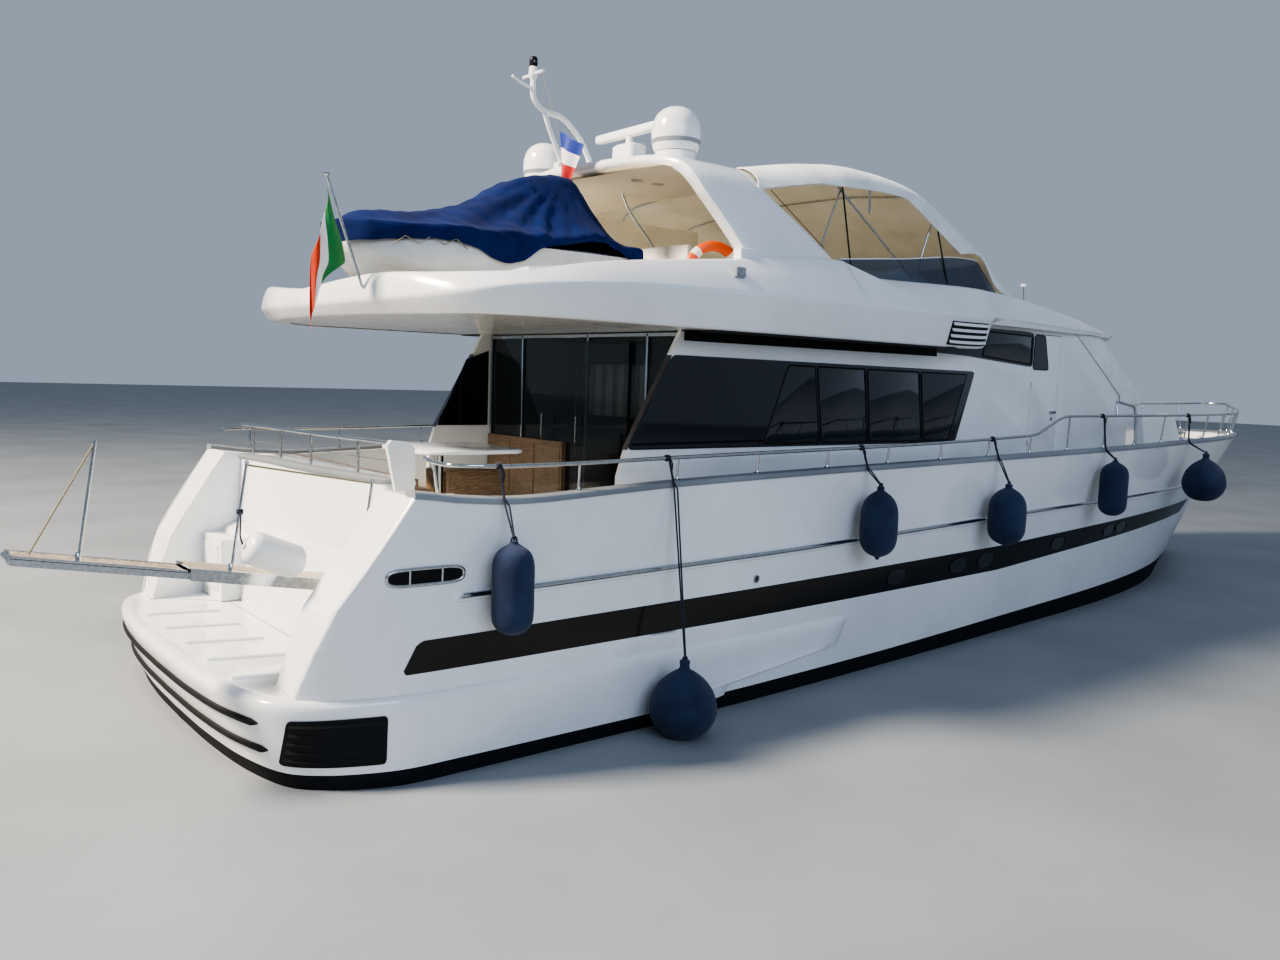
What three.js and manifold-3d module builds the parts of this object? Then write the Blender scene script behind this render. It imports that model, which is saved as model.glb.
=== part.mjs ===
// Motor yacht: hull, deckhouse, flybridge, arch, canopy, tender, passerelle, rails, fenders, running gear.
// Millimetres. +X to the bow, +Y to port, +Z up, origin amidships on the centreline at the waterline.
import * as THREE from 'three';
import { mergeVertices } from 'three/addons/utils/BufferGeometryUtils.js';
import Module from 'manifold-3d';

const wasm = await Module();
wasm.setup();

// Gap left between pieces that touch.
const FIT = 0.3;

// Heights above the waterline.
const COCKPIT_SOLE = 1750;
const SALOON_SOLE = COCKPIT_SOLE;
const SIDE_DECK = 1750;
const FORE_DECK = 2300;
const PLATFORM_TOP = 745;
const FLY_UNDERSIDE = 3830;
const FLY_FLOOR = 3980;
const HELM_FLOOR = 4300;
const WHEELHOUSE_TOP = 4190;

// Lengthwise places.
const STERN = -10750;
const WATER_STEM = 8800;
const DECK_STEM = 11300;
const COCKPIT_AFT = -9300;
const BULKHEAD = -6550;
const DECK_STEP = -100;
const HOUSE_SIDE = 2020;
const HOUSE_WALL = 60;

// Half-breadths: [x, y] at the waterline and along the deck edge.
const WATER_PLAN = [[-10750, 2200], [-10600, 2340], [-10400, 2450], [-10200, 2530], [-10000, 2585], [-9600, 2600], [-8500, 2600], [-6600, 2600], [-5200, 2550], [-3800, 2470],
  [-2400, 2380], [-600, 2250], [1400, 2100], [2900, 1940], [4500, 1660], [5800, 1280], [7200, 700], [8000, 360],
  [8800, 40]];
const DECK_PLAN = [[-10950, 2500], [-10700, 2585], [-10300, 2650], [-9600, 2680], [-9000, 2700], [0, 2700], [2000, 2690], [3500, 2620], [5000, 2470],
  [6500, 2190], [7500, 1880], [8500, 1490], [9500, 1030], [10400, 560], [11000, 220], [11300, 40]];

// Lines along the hull side: [x, z].
const KEEL_LINE = [[-10400, -700], [-8000, -1200], [5000, -1300], [7900, -850]];
const CHINE_LINE = [[-10600, -300], [0, -380], [6000, -300], [8500, -120]];
const BOOT_LINE = [[-10750, 180], [-3600, 200], [1000, 270], [10000, 420]];
const BELT_LINE = [[-10750, 745], [-4400, 745], [10000, 900]];
const STRIPE_LOW = [[-10750, 900], [-5500, 915], [-1300, 930], [5300, 1270], [10500, 1500]];
const STRIPE_HIGH = [[-10750, 1160], [-5500, 1220], [-1300, 1270], [5400, 1500], [10700, 1750]];
const RUB_LINE = [[-10750, 1480], [-9600, 1510], [-5500, 1580], [-1400, 1690], [4900, 1810], [11000, 2050]];
const CAP_LINE = [[-10950, 2360], [-9980, 2340], [-9600, 2290], [-9000, 2255], [-8000, 2295], [-7200, 2330],
  [-2000, 2440], [1000, 2500], [4300, 2570], [8000, 2600], [11300, 2520]];

// Fractions of the length where the hull has its stations.
const STATIONS = [0, 0.008, 0.018, 0.03, 0.0436, 0.0607, 0.0876, 0.1326, 0.1685, 0.24, 0.32, 0.4, 0.48, 0.56, 0.63, 0.69, 0.745, 0.79, 0.84,
  0.885, 0.925, 0.965, 1];

const lerp = (a, b, t) => a + (b - a) * t;

function read(table, x) {
  if (x <= table[0][0]) return table[0][1];
  for (let i = 1; i < table.length; i += 1) {
    const [x0, v0] = table[i - 1];
    const [x1, v1] = table[i];
    if (x <= x1) return lerp(v0, v1, (x - x0) / (x1 - x0));
  }
  return table[table.length - 1][1];
}

// A closed geometry through rings of equal length; the first and last ring are capped,
// with strips from side to side if the ring runs down one side and back up the other.
function loft(rings, strips = false) {
  const n = rings[0].length;
  const points = rings.flat();
  const index = [];
  for (let r = 0; r < rings.length - 1; r += 1) {
    for (let i = 0; i < n; i += 1) {
      const j = (i + 1) % n;
      const a = r * n;
      index.push(a + i, a + j, a + n + j, a + i, a + n + j, a + n + i);
    }
  }
  const cap = (ring, offset, keep) => {
    if (strips) {
      for (let i = 0; i < n / 2 - 1; i += 1) {
        const [a, b, c, d] = [i, i + 1, n - 2 - i, n - 1 - i].map((k) => offset + k);
        if (keep) index.push(a, b, c, a, c, d);
        else index.push(a, c, b, a, d, c);
      }
      return;
    }
    const normal = [0, 0, 0];
    ring.forEach((p, i) => {
      const q = ring[(i + 1) % n];
      normal[0] += (p[1] - q[1]) * (p[2] + q[2]);
      normal[1] += (p[2] - q[2]) * (p[0] + q[0]);
      normal[2] += (p[0] - q[0]) * (p[1] + q[1]);
    });
    const size = normal.map(Math.abs);
    const k = size.indexOf(Math.max(...size));
    const [u, v] = [[1, 2], [2, 0], [0, 1]][k];
    const flat = ring.map((p) => new THREE.Vector2(p[u], p[v]));
    const turn = Math.sign(normal[k]);
    THREE.ShapeUtils.triangulateShape(flat, []).forEach(([a, b, c]) => {
      const area = (flat[b].x - flat[a].x) * (flat[c].y - flat[a].y) - (flat[b].y - flat[a].y) * (flat[c].x - flat[a].x);
      const same = Math.sign(area) === turn;
      if (same === keep) index.push(offset + a, offset + b, offset + c);
      else index.push(offset + a, offset + c, offset + b);
    });
  };
  cap(rings[0], 0, false);
  cap(rings[rings.length - 1], (rings.length - 1) * n, true);
  let volume = 0;
  for (let i = 0; i < index.length; i += 3) {
    const [a, b, c] = [points[index[i]], points[index[i + 1]], points[index[i + 2]]];
    volume += a[0] * (b[1] * c[2] - b[2] * c[1]) - a[1] * (b[0] * c[2] - b[2] * c[0]) + a[2] * (b[0] * c[1] - b[1] * c[0]);
  }
  if (volume < 0) {
    for (let i = 0; i < index.length; i += 3) [index[i], index[i + 1]] = [index[i + 1], index[i]];
  }
  const geometry = new THREE.BufferGeometry();
  geometry.setAttribute('position', new THREE.Float32BufferAttribute(points.flat(), 3));
  geometry.setIndex(index);
  return geometry;
}

function solid(geometry) {
  const bare = geometry.clone();
  bare.deleteAttribute('normal');
  bare.deleteAttribute('uv');
  const merged = mergeVertices(bare, 1e-3);
  return new wasm.Manifold(new wasm.Mesh({
    numProp: 3,
    vertProperties: new Float32Array(merged.attributes.position.array),
    triVerts: new Uint32Array(merged.index.array),
  }));
}

const block = (x0, x1, y0, y1, z0, z1) => solid(
  new THREE.BoxGeometry(x1 - x0, y1 - y0, z1 - z0).translate((x0 + x1) / 2, (y0 + y1) / 2, (z0 + z1) / 2));

// Outline in the side view [x, z], carried across from y0 to y1.
const sidePrism = (outline, y0, y1) => solid(loft([y0, y1].map((y) => outline.map(([x, z]) => [x, y, z]))));

// Outline in plan [x, y], carried up from z0 to z1.
const planPrism = (outline, z0, z1) => solid(loft([z0, z1].map((z) => outline.map(([x, y]) => [x, y, z]))));

// Outline seen from ahead [y, z], carried along from x0 to x1.
const frontPrism = (outline, x0, x1) => solid(loft([x0, x1].map((x) => outline.map(([y, z]) => [x, y, z]))));

// A round bar along a line of points, mitred at the bends.
function pipe(points, radius, sides = 6) {
  const path = points.map((p) => new THREE.Vector3(...p));
  const ways = path.slice(1).map((p, i) => p.clone().sub(path[i]).normalize());
  const side = new THREE.Vector3(0, 0, 1);
  if (Math.abs(ways[0].z) > 0.9) side.set(1, 0, 0);
  const u = new THREE.Vector3().crossVectors(ways[0], side).normalize();
  const v = new THREE.Vector3().crossVectors(ways[0], u).normalize();
  let ring = Array.from({ length: sides }, (_, i) => {
    const a = (2 * Math.PI * (i + 0.5)) / sides;
    return path[0].clone().addScaledVector(u, radius * Math.cos(a)).addScaledVector(v, radius * Math.sin(a));
  });
  const rings = [ring];
  for (let k = 1; k < path.length; k += 1) {
    const way = ways[k - 1];
    const plane = k < ways.length ? way.clone().add(ways[k]).normalize() : way;
    ring = ring.map((p) => p.clone().addScaledVector(way, path[k].clone().sub(p).dot(plane) / way.dot(plane)));
    rings.push(ring);
  }
  return solid(loft(rings.map((r) => r.map((p) => [p.x, p.y, p.z]))));
}

// A turned piece about an upright axis; the profile [radius, z] starts and ends on the axis.
const turned = (profile, sides = 16) => solid(
  new THREE.LatheGeometry(profile.map(([r, z]) => new THREE.Vector2(r, z)), sides).rotateX(Math.PI / 2));

const join = (...pieces) => pieces.reduce((a, b) => a.add(b));
const mirror = (piece) => piece.mirror([0, 1, 0]);

const COLOURS = {
  gelcoat: 0xeef0f2, black: 0x16171a, glass: 0x20262b, steel: 0xb9bec2, canvas: 0xe4e4de, blue: 0x1f3f9a,
  wood: 0x9a6a3c, tube: 0xc9ccd0, fender: 0x2b3142, bronze: 0x9c7a3d, flag: 0x2f8f4e, grey: 0x9a9da0, teak: 0xb08a5a,
};
const yacht = new THREE.Group();
yacht.name = 'motor_yacht';

function place(name, piece, colour) {
  const { vertProperties, triVerts } = piece.getMesh();
  const geometry = new THREE.BufferGeometry();
  geometry.setAttribute('position', new THREE.BufferAttribute(new Float32Array(vertProperties), 3));
  geometry.setIndex(new THREE.BufferAttribute(new Uint32Array(triVerts), 1));
  geometry.computeVertexNormals();
  const mesh = new THREE.Mesh(geometry, new THREE.MeshStandardMaterial({ color: COLOURS[colour] }));
  mesh.name = name;
  yacht.add(mesh);
}

// HULL
const DECK_AFT = -10950;

// One row of the hull at fraction t of its length: below the water its own plan, above it a blend
// from the waterline to the deck edge that hollows the flare.
function hullPoint(row, t) {
  if (row.plan) {
    const x = lerp(row.x0, row.x1, t);
    return [x, row.plan(x), read(row.line, x)];
  }
  const xw = lerp(STERN, WATER_STEM, t);
  const xd = lerp(DECK_AFT, DECK_STEM, t);
  const yw = read(WATER_PLAN, xw);
  const yd = read(DECK_PLAN, xd);
  let x = xd;
  let s = 1;
  if (row.line !== CAP_LINE) {
    for (let pass = 0; pass < 4; pass += 1) {
      s = read(row.line, x) / read(CAP_LINE, x);
      x = lerp(xw, xd, s);
    }
  }
  const flare = 1 + 0.45 * t;
  return [x, lerp(yw, yd, s ** flare), read(row.line, x)];
}

const HULL_ROWS = [
  { plan: (x) => (x > 7000 ? 30 : 60), x0: -10400, x1: 7900, line: KEEL_LINE },
  { plan: (x) => read(WATER_PLAN, x) * 0.93, x0: -10600, x1: 8450, line: CHINE_LINE },
  { line: [[0, 0]] }, { line: BOOT_LINE }, { line: BELT_LINE }, { line: STRIPE_LOW }, { line: STRIPE_HIGH },
  { line: RUB_LINE }, { line: CAP_LINE },
];
const bothSides = (half) => [...half, ...half.map(([x, y, z]) => [x, -y, z]).reverse()];
const hullBody = solid(loft(HULL_ROWS.map((row) => bothSides(STATIONS.map((t) => hullPoint(row, t)))), true));

// Half-breadth of the hull at a place along and a height.
function hullHalf(x, z) {
  const s = THREE.MathUtils.clamp(z / read(CAP_LINE, x), 0, 1);
  let t = (x - DECK_AFT) / (DECK_STEM - DECK_AFT);
  for (let pass = 0; pass < 8; pass += 1) {
    const xs = lerp(lerp(STERN, WATER_STEM, t), lerp(DECK_AFT, DECK_STEM, t), s);
    t += (x - xs) / (DECK_STEM - DECK_AFT);
  }
  const yw = read(WATER_PLAN, lerp(STERN, WATER_STEM, t));
  const yd = read(DECK_PLAN, lerp(DECK_AFT, DECK_STEM, t));
  return lerp(yw, yd, s ** (1 + 0.45 * t));
}

const deckOutline = (x0, x1, inset) => {
  const xs = [x0, ...DECK_PLAN.map(([x]) => x).filter((x) => x > x0 + 50 && x < x1 - 50), x1];
  const half = xs.map((x) => [x, Math.max(read(DECK_PLAN, x) - inset, 20)]);
  return [...half, ...half.map(([x, y]) => [x, -y]).reverse()];
};
const BULWARK = 110;
const foredeckPocket = planPrism(deckOutline(DECK_STEP, 10500, BULWARK), FORE_DECK, 3000);
const sideDeckPocket = planPrism(deckOutline(BULKHEAD, DECK_STEP, BULWARK), SIDE_DECK, 3000);
const cockpitWell = block(COCKPIT_AFT, BULKHEAD, -2480, 2480, COCKPIT_SOLE, 3000);
const saloonWell = block(BULKHEAD - 1, -1000, -1950, 1950, SALOON_SOLE, 3000);
const WELL_HALF = 2050;
const wellPlan = [[-12000, 1880], [-10850, 1880], [-10500, 1980], [-10150, WELL_HALF], [COCKPIT_AFT, WELL_HALF]];
const sternWell = planPrism([...wellPlan, ...wellPlan.map(([x, y]) => [x, -y]).reverse()], PLATFORM_TOP, 3000);
const wingSlope = sidePrism([[-9880, 2500], [-9960, 2350], [-10110, 2130], [-10260, 1900], [-10440, 1640], [-10590, 1410],
  [-10700, 1100], [-10790, 760], [-12000, 760], [-12000, 2500]], -3000, 3000);

// Shafts, brackets and skeg that belong to the hull.
const SHAFT_Y = 1150;
const PROP_X = -8650;
const PROP_Z = -1120;
function shaftLine(y) {
  const shaft = pipe([[-4200, y, -560], [PROP_X + 180, y, PROP_Z], [PROP_X + 105 + FIT, y, PROP_Z]], 45, 8);
  const strut = pipe([[PROP_X + 360, y, PROP_Z + 44], [PROP_X + 420, y, -500]], 40, 6);
  return join(shaft, strut);
}
const RUDDER_X = -9450;
const HATCH = { x0: 8000, x1: 8700, half: 350, z: FORE_DECK + 40 };
const hatchCoaming = block(HATCH.x0 - 30, HATCH.x1 + 30, -HATCH.half - 30, HATCH.half + 30, FORE_DECK - 5, HATCH.z - 6)
  .subtract(block(HATCH.x0 + 30, HATCH.x1 - 30, -HATCH.half + 30, HATCH.half - 30, FORE_DECK - 100, 3000));
const hatchKnuckle = (y0, y1, reach, z) => pipe([[HATCH.x0 - 15, y0, HATCH.z + 10], [HATCH.x0 - 15, y1, HATCH.z + 10]], 12, 10)
  .add(block(HATCH.x0 - 25, reach, y0, y1, z, z + 16));
const RUDDER_BOSS = -745;
const rudderBoss = (y) => pipe([[RUDDER_X, y, RUDDER_BOSS], [RUDDER_X, y, -560]], 70, 12);
const hull = join(hullBody.subtract(foredeckPocket).subtract(sideDeckPocket).subtract(cockpitWell).subtract(saloonWell)
  .add(hatchCoaming)
  .add(hatchKnuckle(-100 + FIT, -20, HATCH.x0 - 5, HATCH.z - 10)).add(hatchKnuckle(20, 100 - FIT, HATCH.x0 - 5, HATCH.z - 10))
  .subtract(sternWell).subtract(wingSlope), rudderBoss(SHAFT_Y), rudderBoss(-SHAFT_Y), shaftLine(SHAFT_Y), shaftLine(-SHAFT_Y));
// The hull is moulded up to the cabin sole; the topsides with the side decks, and the bow with the foredeck, stand on it.
const BOW_JOINT = -1000;
const above = (x0, x1, y0, y1) => hull.intersect(block(x0, x1, y0, y1, COCKPIT_SOLE + FIT, 4000));
place('hull', hull.intersect(block(-13000, 13000, -4000, 4000, -3000, COCKPIT_SOLE)), 'gelcoat');
place('topside_starboard', above(-13000, BOW_JOINT - FIT, -4000, 0), 'gelcoat');
place('topside_port', above(-13000, BOW_JOINT - FIT, 0, 4000), 'gelcoat');
place('bow_deck', above(BOW_JOINT, 13000, -4000, 4000), 'gelcoat');

// SWIM PLATFORM with the belt moulding that runs forward along both sides
const hullSkin = hullBody.scale([1.00005, 1.0002, 1]);
const PLATFORM_EDGE = [[-10300, 2520], [-10800, 2400], [-11020, 2190], [-11170, 1700], [-11250, 910], [-11270, 0]];
const BELT_OUT = 40;
const BELT_START = [[-120, -6500], [240, -6300], [400, -4560], [735, -4400]];
const PLATFORM_RAKE = 250;
const beltSide = (z) => {
  const start = read(BELT_START, z);
  return [start, start - 250, start - 700, -7400, -8500, -9500, -10000, -10300].map(
    (x, i) => [x, hullHalf(x, z) + (i === 0 ? -30 : BELT_OUT), z]);
};
const beltRing = (z) => {
  const rake = PLATFORM_RAKE * (1 - z / PLATFORM_TOP);
  const half = [...beltSide(z), ...PLATFORM_EDGE.slice(1).map(([x, y]) => [x + rake, y, z])];
  return [...half, ...half.slice(0, -1).map(([x, y]) => [x, -y, z]).reverse()];
};
const platformBody = solid(loft([-120, 240, 400, PLATFORM_TOP - 5].map(beltRing)));
const platformHollow = planPrism([[-4300, -2200], [-4300, 2200], [-10200, 2200], [-10200, -2200]], -400, 1200);
const swimPlatform = platformBody.subtract(platformHollow).subtract(hullSkin);
place('swim_platform', swimPlatform.decompose().sort((a, b) => b.volume() - a.volume())[0], 'gelcoat');

// CAP RAIL on the bulwark, round the bow
const CAP_WIDTH = 150;
const CAP_HEIGHT = 45;
const capXs = STATIONS.filter((t) => t > 0.04).map((t) => lerp(DECK_AFT, DECK_STEM, t));
function capSection(x, sign) {
  const y = read(DECK_PLAN, x);
  const inner = { x: Math.min(x, 11060), y: Math.max(y - CAP_WIDTH, 30) };
  const z = read(CAP_LINE, x) + FIT;
  const zi = read(CAP_LINE, inner.x) + FIT;
  return [[x, sign * (y + 15), z], [x, sign * (y + 15), z + CAP_HEIGHT],
    [inner.x, sign * inner.y, zi + CAP_HEIGHT], [inner.x, sign * inner.y, zi]];
}
const capRail = solid(loft([...capXs.map((x) => capSection(x, 1)), ...capXs.map((x) => capSection(x, -1)).reverse()]));
place('cap_rail', capRail, 'grey');

// TRANSOM: cockpit coaming with the stair to starboard and the passerelle step
const transomRing = (shift, z) => [[-9790 - shift, WELL_HALF - FIT], [-9720 - shift, 1500], [-9670 - shift, 530],
  [-9560 - shift, -400], [-9460 - shift, -1050], [-9300 - FIT, -1120], [-9300 - FIT, WELL_HALF - FIT]].map(([x, y]) => [x, y, z]);
const transomBody = solid(loft([transomRing(300, PLATFORM_TOP + FIT), transomRing(225, 1450), transomRing(190, 1500),
  transomRing(50, 1550), transomRing(0, 2290)]));
const coamingTop = solid(loft([transomRing(0, 2290), transomRing(0, 2290)].map((ring, i) => ring.map(
  ([x, y], k) => [k > 4 ? -9180 : x, y, 2240 + i * 50]))));
const stair = sidePrism([[-10140, PLATFORM_TOP + FIT], [-10140, 1000], [-9930, 1000], [-9930, 1250], [-9710, 1250],
  [-9710, 1505], [-9490, 1505], [-9490, COCKPIT_SOLE], [-9300 - FIT, COCKPIT_SOLE], [-9300 - FIT, PLATFORM_TOP + FIT]],
-WELL_HALF + FIT, -1100);
const passerelleStep = join(block(-9860, -9600, -1630, -1120, 900, 1334), block(-9900, -9790, -1630, -1590 - FIT, 1300, 1440),
  block(-9900, -9790, -1160 + FIT, -1120, 1300, 1440));
place('transom', join(transomBody, coamingTop, stair, passerelleStep), 'gelcoat');

// Stainless handrail on the transom coaming
const RAIL_R = 19;
const transomRailTop = [[-9700, 2250, 2640], [-9680, 1950, 2640], [-9600, 1300, 2640], [-9560, 530, 2640], [-9450, -400, 2640],
  [-9370, -1000, 2640]];
const transomRail = transomRailTop.slice(1, -1).reduce((a, [x, y, z]) => a.add(
  pipe([[x, y, 2290 + FIT], [x, y, z]], RAIL_R - 3)), pipe([...transomRailTop, [-9370, -1000, 2290 + FIT]], RAIL_R));
place('transom_rail', transomRail, 'steel');

// SIDE RAILS and the pulpit: [x, base inset, top height above the cap, lean outboard]
const railZ = (x) => read([[-9800, 2570], [-9000, 2560], [-7200, 2590], [-1000, 2740], [-100, 2995], [5800, 3030],
  [9500, 3110], [11150, 3180]], x);
const railY = (x) => read(DECK_PLAN, x) - 55 + read([[0, 0], [6000, 60], [11150, 90]], x);
const postsAt = [-9500, -8370, -7220, -6140, -5070, -4020, -3010, -1990, -1020, -60, 960, 1900, 2850, 3800, 4750, 5700];
const railTopXs = [-9700, -8370, -7220, -5070, -3010, -1020, -60, 1900, 3800, 5700];
const railPost = (x) => pipe([[x, read(DECK_PLAN, x) - 70, read(CAP_LINE, x) + CAP_HEIGHT + 4 * FIT],
  [x, read(DECK_PLAN, x) - 70, read(CAP_LINE, x) + CAP_HEIGHT + 30], [x, railY(x), railZ(x)]], 14);
const railTube = (extra) => pipe([[-9900, 2350, railZ(-9800)], ...railTopXs.map((x) => [x, railY(x), railZ(x)]),
  [5950, railY(5950), railZ(5950)]], RAIL_R + extra);
const sideRail = postsAt.reduce((a, x) => a.add(railPost(x)), railTube(0));
place('rail_starboard', mirror(sideRail), 'steel');
place('rail_port', sideRail, 'steel');
const pulpitXs = [6000, 7000, 8000, 9000, 10000, 10700];
const pulpitHalf = pulpitXs.map((x) => [x, railY(x), railZ(x)]);
const pulpitTop = [...pulpitHalf, [11150, 280, 3180], [11150, -280, 3180],
  ...pulpitHalf.map(([x, y, z]) => [x, -y, z]).reverse()];
const pulpitPosts = [6700, 7700, 8700, 9700, 10500];
const pulpitHalfPosts = join(...pulpitPosts.map(railPost));
place('pulpit', join(pipe(pulpitTop, RAIL_R), pulpitHalfPosts, mirror(pulpitHalfPosts)), 'steel');

// DECKHOUSE: side walls that stand on the decks, with the windows and the side doors cut through
const WALL_FOOT = [[-7450, COCKPIT_SOLE + FIT], [-7450, 2350], [-7370, 2600], [-6830, 3550], [-6690, FLY_UNDERSIDE - FIT],
  [-2340 + FIT, FLY_UNDERSIDE - FIT], [-2340 + FIT, WHEELHOUSE_TOP - FIT], [1400, WHEELHOUSE_TOP - FIT], [2880, 3290],
  [2880, FORE_DECK + FIT], [DECK_STEP - FIT, FORE_DECK + FIT], [DECK_STEP - FIT, SIDE_DECK + FIT],
  [BULKHEAD - FIT, SIDE_DECK + FIT], [BULKHEAD - FIT, COCKPIT_SOLE + FIT]];
const SALOON_WINDOW = [[-5540, 2660], [-5190, 3510], [-1570, 3530], [-1860, 2650]];
const WHEELHOUSE_WINDOW = [[-2180, 3800], [-1230, 4090], [-120, 4130], [-120, 3690]];
const DOOR = { x0: -40, x1: 680, z0: 2380, z1: 4130 };
const doorGap = 8;
const sideWall = sidePrism(WALL_FOOT, HOUSE_SIDE - HOUSE_WALL, HOUSE_SIDE)
  .subtract(sidePrism(SALOON_WINDOW, 1800, 2200))
  .subtract(sidePrism(WHEELHOUSE_WINDOW, 1800, 2200))
  .subtract(block(DOOR.x0 - doorGap, DOOR.x1 + doorGap, 1800, 2200, DOOR.z0 - doorGap, DOOR.z1 + doorGap));
const HINGE = { x: DOOR.x0 - 4, y: HOUSE_SIDE + 12.5, r: 12, heights: [2620, 3440] };
const knuckle = (z0, z1, x0, x1) => pipe([[HINGE.x, HINGE.y, z0], [HINGE.x, HINGE.y, z1]], HINGE.r, 10)
  .add(block(x0, x1, HOUSE_SIDE - 2, HOUSE_SIDE + 6, z0, z1));
const houseSide = join(sideWall, ...HINGE.heights.map((z) => knuckle(z + FIT, z + 60, DOOR.x0 - 50, HINGE.x)));
place('deckhouse_starboard', mirror(houseSide), 'gelcoat');
place('deckhouse_port', houseSide, 'gelcoat');

// Front of the deckhouse: a curved wall, the raked windscreen frame above it and the trunk ahead
const FRONT_BASE = [[2881, 2020], [3600, 1820], [4300, 1450], [4850, 900], [5100, 0]];
const FRONT_TOP = [[1401, 2020], [2100, 1850], [2800, 1480], [3300, 950], [3550, 0]];
function shellRing(plan, z, inside, outside) {
  const half = plan.map(([x, y], i) => {
    const [xa, ya] = plan[Math.max(i - 1, 0)];
    const [xb, yb] = plan[Math.min(i + 1, plan.length - 1)];
    const long = Math.hypot(xb - xa, yb - ya);
    const n = i === plan.length - 1 ? [1, 0] : [-(yb - ya) / long, (xb - xa) / long];
    return { x, y, n: i === 0 ? [0, 1] : n };
  });
  const at = ({ x, y, n }, d) => [x + n[0] * d, y + n[1] * d, z];
  const outer = half.map((p) => at(p, outside));
  const inner = half.map((p) => at(p, inside));
  const flip = (list) => list.slice(0, -1).map(([x, y, h]) => [x, -y, h]).reverse();
  return [...outer, ...flip(outer), ...[...inner, ...flip(inner)].reverse()];
}
const frontPlan = (z) => FRONT_BASE.map(([x, y], i) => {
  const t = Math.max(0, (z - 3290) / (WHEELHOUSE_TOP - 3290));
  return [lerp(x, FRONT_TOP[i][0], t), lerp(y, FRONT_TOP[i][1], t)];
});
const frontShell = (inside, outside) => solid(loft([FORE_DECK + FIT, 3290, WHEELHOUSE_TOP - FIT].map(
  (z) => shellRing(frontPlan(z), z, inside, outside))));
const band = (z0, z1) => block(-1000, 9000, -3000, 3000, z0, z1);
const trunkRing = (z, shrink) => [[4600, 1500], [6400, 1300], [7200, 800 - shrink], [7200, -800 + shrink], [6400, -1300],
  [4600, -1500]].map(([x, y]) => [x - (x > 5000 ? shrink : 0), y - Math.sign(y) * shrink, z - (x > 7000 ? 190 : (x > 6000 ? 20 : 0))]);
const trunkBody = solid(loft([[[4600, 1560], [6500, 1360], [7350, 850], [7350, -850], [6500, -1360], [4600, -1560]].map(
  ([x, y]) => [x, y, FORE_DECK + FIT]), trunkRing(2960, 60), trunkRing(3010, 160)]));
const frontWall = frontShell(-60, 0);
const insideFront = solid(loft([2200, 3290, 4300].map((z) => shellRing(frontPlan(z), z, -1400, -60))));
const paneCut = frontShell(-90, 60).intersect(band(3400, 4080));
const panes = join(block(-100, 9000, 120, 1750, 3300, 4200), mirror(block(-100, 9000, 120, 1750, 3300, 4200)));
const deckhouseFront = join(frontWall.subtract(paneCut.intersect(panes)), trunkBody.subtract(insideFront));
place('deckhouse_front', deckhouseFront.decompose().sort((a, b) => b.volume() - a.volume())[0], 'gelcoat');
place('windscreen', frontShell(0, 16).subtract(frontShell(-90, 1)).intersect(band(3340, 4140)), 'glass');
place('windscreen_cover', frontShell(26, 42).subtract(frontShell(-90, 28)).intersect(band(3160, WHEELHOUSE_TOP - FIT)), 'canvas');

// FLYBRIDGE: roof moulding with the tub for the upper deck; each row is a plan with its heights
const FLY_LOW = [[-9800, 0], [-9740, 900], [-9610, 1480], [-9430, 2030], [-9200, 2360], [-8860, 2520], [-6000, 2520], [-4650, 2515],
  [-4400, 2512], [-2900, 2500], [-2350, 2300],
  [-2340, 2060], [1000, 2060], [1500, 2030], [2250, 1880], [2950, 1520], [3470, 1000], [3700, 0]];
const FLY_MID = [[-9890, 0], [-9830, 920], [-9700, 1520], [-9510, 2090], [-9270, 2440], [-8920, 2640], [-6000, 2660], [-4650, 2640],
  [-4400, 2635], [-2900, 2600], [-2000, 2400],
  [-1200, 2200], [1000, 2130], [1520, 2090], [2300, 1930], [3020, 1560], [3550, 1030], [3780, 0]];
const FLY_TOP = [[-9860, 0], [-9800, 880], [-9670, 1450], [-9480, 1970], [-9220, 2300], [-8830, 2450], [-6000, 2400], [-4900, 2360],
  [-4650, 2352], [-4400, 2345], [-1850, 2240],
  [-1300, 2160], [900, 2000], [1400, 1940], [2100, 1760], [2750, 1400], [3200, 900], [3400, 0]];
const flyMidZ = (x) => read([[-9900, 3900], [-9500, 3960], [-9000, 4080], [-7000, 4190], [-2900, 4220], [-1200, 4260], [3800, 4215]], x);
const flyTopZ = (x) => read([[-9850, 3975], [-9560, 4000], [-8950, 4230], [-8100, 4350], [-6400, 4540], [-4900, 4690],
  [-4650, 4690], [-4400, 4550], [-1850, 4610], [-1300, 4600], [900, 4430], [2100, 4310], [3400, 4260]], x);
const fullPlan = (plan, height) => {
  return bothSides(plan.map(([x, y]) => [x, Math.max(y, 1), height(x)]));
};
const flyBody = solid(loft([fullPlan(FLY_LOW, () => FLY_UNDERSIDE), fullPlan(FLY_MID, flyMidZ), fullPlan(FLY_TOP, flyTopZ)], true));
const tubPlan = [[-9000, 2230], [-5000, 2180], [-2420, 2060], [-2420, -2060], [-5000, -2180], [-9000, -2230]];
const tubFront = [[-2430, 2050], [-1900, 1950], [-1400, 1500], [-1200, 0], [-1400, -1500], [-1900, -1950], [-2430, -2050]];
const aftDeck = [[-9100, 2150], [-8900, 2230], [-8900, -2230], [-9100, -2150], [-10000, -2150], [-10000, 2150]];
const underWheelhouse = block(-2340, 5000, -2700, 2700, 3000, WHEELHOUSE_TOP);
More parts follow.
